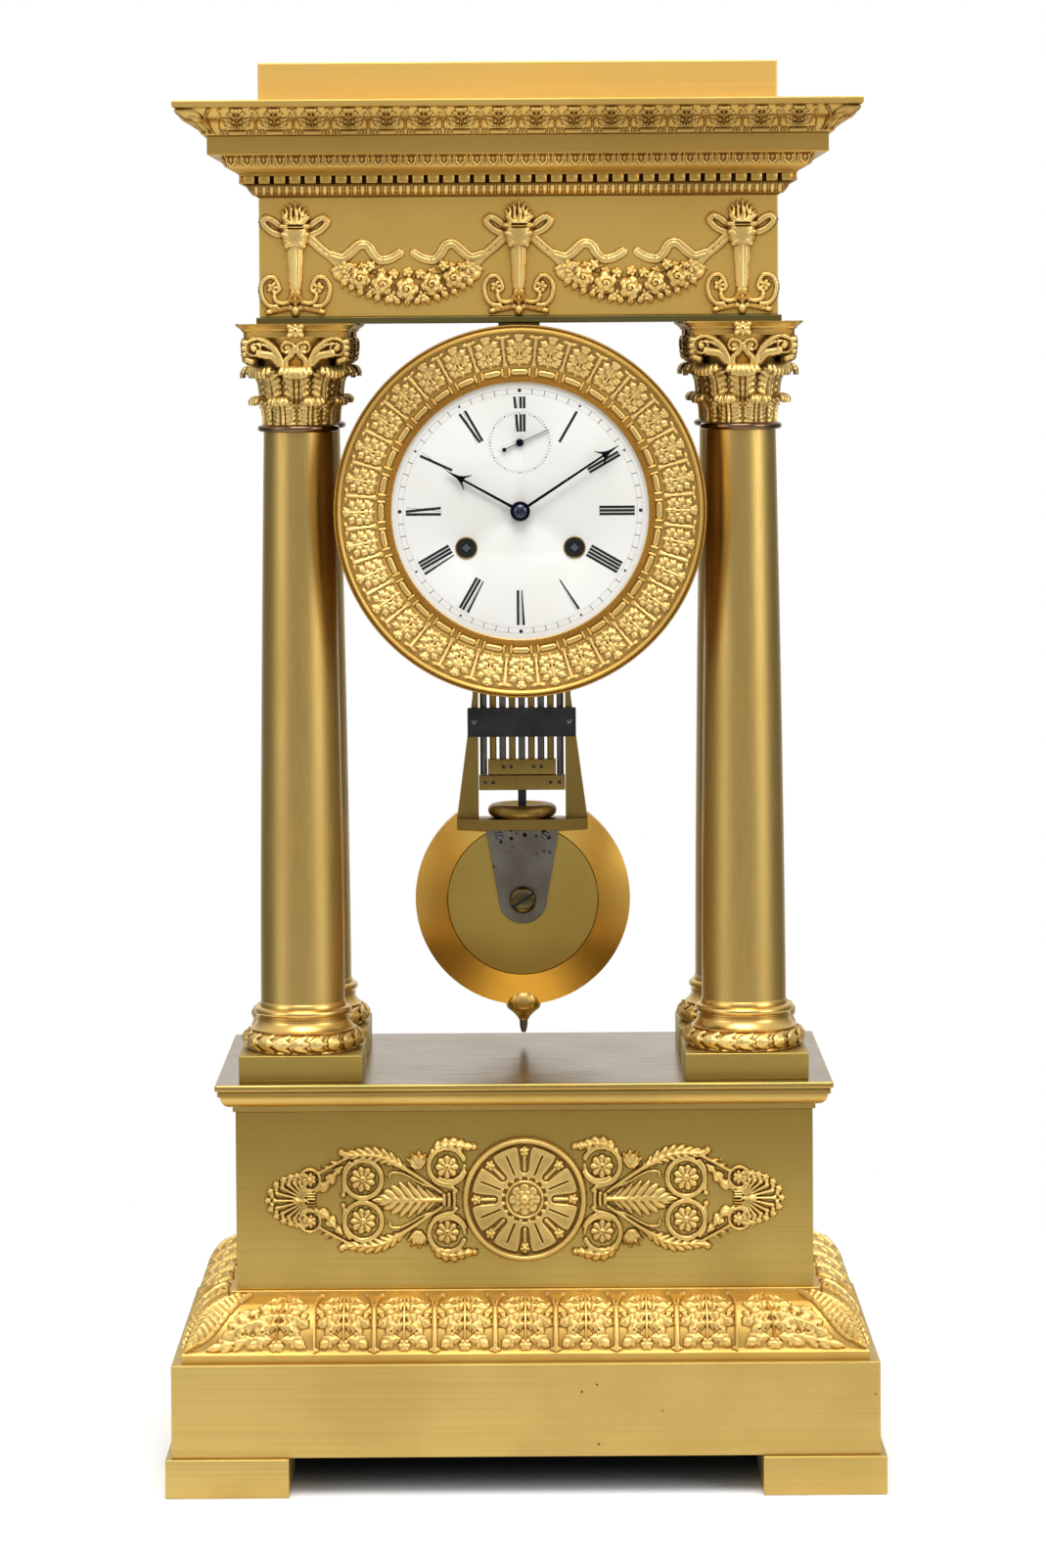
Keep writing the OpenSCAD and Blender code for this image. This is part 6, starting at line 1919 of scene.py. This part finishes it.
def carve_garland():
    """A hanging garland of roses and leaves with two waving ribbons."""
    c = Carving(-46.0, 46.0, 4.5, 38.0, 0.4)
    right = [(11.0, 14.0), (21.0, 16.6), (29.5, 20.6)]
    c.stroke(smooth_line(mirrored(-1, right[::-1]) + [(0, 12.8)] + right, 40), 9.5, 1.7)
    leaves = ((29.8, 20.4, 33.0, 17.0), (27.4, 17.6, 30.0, 13.4), (24.0, 15.4, 26.8, 11.6),
              (20.2, 13.0, 22.8, 9.4), (16.4, 11.6, 18.4, 8.0), (12.6, 10.6, 14.8, 6.6),
              (8.4, 9.4, 9.8, 5.6), (4.0, 8.6, 5.0, 5.0))
    flowers = ((28.2, 22.6, 3.2), (16.8, 23.2, 2.8), (6.2, 19.4, 2.7), (24.6, 22.6, 2.4), (11.6, 20.4, 2.3),
               (7.2, 9.4, 2.9), (15.6, 12.6, 2.6), (20.4, 22.8, 2.2), (26.6, 18.6, 2.6))
    for s in (-1, 1):
        carve_ribbons(c, s)
        c.leaf([(s * 31.4, 22.6), (s * 35.4, 20.8)], 2.4, 2.0, 1, 0.1)
        for k, (u0, v0, u1, v1) in enumerate(leaves):
            rib = mirrored(s, [(u0, v0), (u0 * 0.45 + u1 * 0.55, v0 * 0.5 + v1 * 0.5), (u1, v1)])
            c.leaf(rib, 3.7, 2.5 - 0.1 * (k % 2), 1, 0.1, fullness=0.4, ends=(0.5, 0.12))
        for u, v, r in flowers:
            c.flower(s * u, v, r, 5, 2.4, boss=0.34, phase=37 * u, base=0.7)
        carve_rose(c, s * 21.4, 17.6, 5.2, 20 * s)
        carve_rose(c, s * 11.4, 14.8, 5.4, 50 * s)
    c.leaf([(0, 8.4), (0, 4.6)], 3.6, 2.5, 1, 0.1, fullness=0.4, ends=(0.5, 0.12))
    c.flower(0.4, 20.2, 2.6, 5, 2.2, boss=0.34, base=0.6)
    carve_rose(c, 0, 12.6, 5.6)
    return c


def make_frieze_mounts():
    """Three torches with a garland between each two."""
    for name, node, carving, places in (
            ("torches_carved", "torch_mounts", carve_torch(), (-TORCH_X, 0, TORCH_X)),
            ("garlands_carved", "garland_mounts", carve_garland(), (-TORCH_X / 2, TORCH_X / 2))):
        pieces = [carving.solid("mount", on_wall(FRIEZE_Y, FRIEZE_LOW[2], x), contrast=1.8) for x in places]
        dress(joined(name, pieces), ORNAMENT, [node])


make_medallion()
make_scrolls()
make_frieze_mounts()


# Capitals and the laurel on the column bases

CAPITAL_Z, CAPITAL_TOP = levels("capitals")
CAPITAL_H = CAPITAL_TOP - CAPITAL_Z
ABACUS_HALF = span("capitals")[1][0] - COLUMNS[2][0]
LEAF_BELL_R = 19.0


def abacus(centre, edge):
    """A slab with hollowed sides and cut corners; its edge gives (inset, height) upwards."""
    x, y = centre
    rings = []
    for inset, z in edge:
        half = ABACUS_HALF - inset
        side = [(t * (half - 1.6), -half + 4.6 * (1 - t ** 2)) for t in np.linspace(-1, 1, 11)]
        rings.append([(u * c - v * s + x, u * s + v * c + y, z)
                      for c, s in ((1, 0), (0, 1), (-1, 0), (0, -1)) for u, v in side])
    n = len(rings[0])
    quads = np.array([[i * n + j, i * n + (j + 1) % n, (i + 1) * n + (j + 1) % n, (i + 1) * n + j]
                      for i in range(len(rings) - 1) for j in range(n)])
    caps = np.array([list(range(n))[::-1], list(range((len(rings) - 1) * n, len(rings) * n))])
    return mesh_object("abacus", np.concatenate(rings), [quads, caps], smooth_angle=30)


def bent_leaf(name, line, tip):
    """An acanthus leaf that climbs the bell and curls over; its line gives (radius, height) up the rib."""
    width = 14.2
    rib = Outline(smooth_line(line, 40))
    length = rib.length
    c = Carving(-width / 2, width / 2, 0, length, 0.65)
    u, v = c.grid()
    t = v / length
    spread = {0: 0.98, 0.25: 1.0, 0.55: 0.97, 0.72: (1 + tip) / 2, 0.88: tip, 1.0: tip * 0.6}
    half = width / 2 * np.interp(t, list(spread), list(spread.values()))
    finger = np.abs(np.sin(math.pi * (7 * t - 1.6 * np.abs(u) / width)))
    edge = half * (1 - 0.2 * (1 - finger))
    x = np.clip(np.abs(u) / edge, 0, 1)
    vein = np.abs(np.sin(math.pi * (2.4 * x + 1.1 * t)))
    body = (0.35 + 0.85 * np.sqrt(1 - x ** 2)) * (0.72 + 0.28 * finger) + 0.35 * vein * (1 - x)
    c.h = np.where(x < 1, 0.12 + 1.05 * body, 0)
    c.stroke([(0, 0), (0, length * 0.95)], 1.3, 1.9, (1.2, 0.7))
    for s in (-1, 1):
        c.cut([(s * 1.2, 0), (s * 1.0, length * 0.8)], 0.9, 0.9)
        for k in range(3):
            c.hole(s * width * 0.33, length * (0.2 + 0.22 * k), 0.55, 0.15)
    return c.solid(name, rib.around(LEAF_BELL_R, CAPITAL_Z), sunk=0.7, contrast=0.9)


def leaf_lip(name, line, width, flutes):
    """The fluted tip of a leaf, ending in small points; its line runs up and back from the points."""
    rib = Outline(smooth_line(line, 24))
    length = rib.length
    c = Carving(-width / 2 - 1, width / 2 + 1, -1.2, length, 0.52)
    pitch = width / flutes
    for k in np.arange(flutes) - (flutes - 1) / 2:
        low = 0.35 * (abs(k) / flutes * 2) ** 2 * length
        c.stroke([(k * pitch, low), (k * pitch * 0.72, length)], pitch * 1.12, 1.0, (1.0, 0.9))
    c.cut([(0, 0), (0, length)], 0.5, 0.5, 0.3)
    return c.solid(name, rib.around(line[0][0], CAPITAL_Z), sunk=0.5, contrast=0.7)


def volute_face():
    """One side under the abacus: two small curls at the middle and a stalk out to each corner curl."""
    c = Carving(-24.6, 24.6, 25.5, 40.6, 0.52)
    for s in (-1, 1):
        c.stroke(mirrored(s, spiral((3.9, 35.3), 3.4, 0.8, 200, -330)), 1.6, 1.9, (1.2, 0.8))
        c.dome(s * 3.9, 35.3, 1.3, 2.0)
        c.stroke(soft_curve(s, 12, (4.6, 26.0), (4.4, 29.6), (2.6, 31.6), (0.7, 34.0)), 2.7, 1.6)
        c.dome(s * 2.3, 31.6, 1.5, 1.7)
        c.stroke(soft_curve(s, 24, (6.4, 26.0), (6.6, 30.0), (9.0, 34.6), (13.4, 38.4), (18.4, 39.6),
                            (22.6, 37.6)), 2.0, 2.0)
        c.stroke(soft_curve(s, 12, (7.4, 28.4), (10.4, 31.6), (14.0, 32.4), (16.6, 33.0)), 3.6, 1.5)
        c.stroke(soft_curve(s, 12, (8.4, 32.4), (12.0, 35.6), (16.4, 37.4), (20.0, 36.6)), 1.5, 1.4)
        c.stroke(mirrored(s, spiral((18.6, 35.2), 4.5, 1.0, 95, -430, 40)), 1.35, 1.9, (1.2, 0.8))
        c.dome(s * 18.6, 35.2, 1.4, 1.9)
        for u, v, size in ((22.9, 38.0, 1.7), (23.2, 35.2, 1.6), (22.8, 32.5, 1.6), (21.8, 30.2, 1.5),
                           (20.0, 29.4, 1.3)):
            c.dome(s * u, v, size, 1.7)
    place = lambda u, v, h: np.stack([u, -(19.7 + 0.0066 * u ** 2) - h, v + CAPITAL_Z], 1)
    return c.solid("volute_face", place, sunk=2.6)


def abacus_flower():
    c = Carving(-4.2, 4.2, -3.4, 3.4, 0.4)
    for u in (-2.9, 2.9):
        for v in (-2.1, 2.1):
            c.dome(u, v, 1.25, 1.5)
    c.flower(0, 0, 3.5, 8, 1.7, boss=0.42)
    c.hole(0, 0, 0.7, 0.5)
    place = on_wall(-(ABACUS_HALF - 5.4), CAPITAL_Z + CAPITAL_H - 3.3)
    return c.solid("abacus_flower", place, sunk=0.8, contrast=0.9)


def make_capitals():
    """Two rows of leaves with their lips, the volutes, the abacus and its flowers, around a plain bell."""
    lower = [(15.5, 0.3), (15.7, 4.5), (16.4, 8.2), (18.2, 10.9), (20.2, 11.6), (21.4, 10.9)]
    upper = [(15.8, 7.5), (16.2, 14.0), (17.2, 20.0), (19.6, 23.9), (22.4, 25.2), (24.2, 24.6)]
    lower_lip = [(22.4, 9.0), (22.3, 10.8), (21.0, 12.2), (19.0, 12.0), (17.4, 10.6)]
    upper_lip = [(25.6, 21.6), (25.7, 24.0), (24.2, 26.0), (21.6, 26.0), (19.0, 24.3)]
    for label, tile, count, phase in (("lower_leaves", bent_leaf("lower_leaf", lower, 0.6), 8, 22.5),
                                      ("upper_leaves", bent_leaf("upper_leaf", upper, 0.9), 8, 0),
                                      ("lower_lips", leaf_lip("lower_lip", lower_lip, 10.5, 5), 8, 22.5),
                                      ("upper_lips", leaf_lip("upper_lip", upper_lip, 16.0, 7), 8, 0),
                                      ("volutes", volute_face(), 4, 0),
                                      ("flowers", abacus_flower(), 4, 0)):
        pieces = [ring(label, tile, count, ORNAMENT, (x, y, 0), UPRIGHT, phase) for x, y in COLUMNS]
        drop(tile)
        dress(joined("capital_" + label, pieces), ORNAMENT, ["capitals"])
    bell = lifted(CAPITAL_Z, (0, 0), (15.3, 0), (15.4, 8), (15.8, 16), (16.6, 24), (18.0, 31), (20.2, 37),
                  (21.6, 40.6), (0, 40.6))
    at_columns("capital_bells", bell, ORNAMENT_GROUND, "capitals", 64)
    edge = lifted(CAPITAL_Z, (4.4, 39.9), (3.7, 40.1), (3.6, 40.6), (3.5, 42.6), (3.0, 42.9), (2.6, 43.2),
                  (2.6, 43.6), (2.0, 44.2), (0.9, 45.0), (0.4, 45.5), (0.0, 45.7), (0.0, CAPITAL_H))
    dress(joined("capital_abaci", [abacus(place, edge) for place in COLUMNS]), COURSE, ["capitals"])


def make_laurel():
    """Bound laurel leaves around the lowest ring of each column base."""
    outline = Outline(bulge(TORUS_R, TORUS_Z, 4.5, 4.3, -1.15, 1.3, 20))
    length, mid, mean, count = outline.length, outline.length / 2, TORUS_R + 4, 20
    pitch = TAU * mean / count
    c = Carving(-pitch / 2, pitch / 2, 0, length, 0.62)
    for s in (-1, 1):
        rib = [(-pitch * 0.62, mid), (0.6, mid + s * length * 0.24),
               (pitch * 0.42, mid + s * length * 0.42)]
        c.leaf(rib, 3.4, 1.0, 1, 0.08, fullness=0.5, ends=(0.4, 0.1))
        c.dome(pitch * 0.1, mid + s * length * 0.06, 0.9, 1.3)
    c.leaf([(-pitch * 0.3, mid), (pitch * 0.5, mid)], 3.0, 1.2, 1, 0.08, fullness=0.5, ends=(0.4, 0.1))
    tile = c.solid("laurel_tile", outline.around(mean), sunk=0.3, contrast=0.8)
    bands = [ring("laurel", tile, count, ORNAMENT, (x, y, 0), UPRIGHT) for x, y in COLUMNS]
    drop(tile)
    dress(joined("column_base_laurel", bands), ORNAMENT)


make_capitals()
make_laurel()


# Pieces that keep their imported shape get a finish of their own

for finish, nodes in (
        (WHEEL_BRASS, ("front_plate", "back_plate", "plate_pillars", "going_barrel", "strike_barrel",
                       "centre_wheel", "third_wheel", "escape_wheel", "minute_wheel", "hour_wheel")),
        (ROD_STEEL, ("anchor", "cannon_pinion", "suspension_cock", "suspension_spring")),
        (ARBOR_STEEL, ("going_winding_arbor", "strike_winding_arbor"))):
    for node in nodes:
        for slot in bpy.data.objects[node].material_slots:
            slot.material = finish
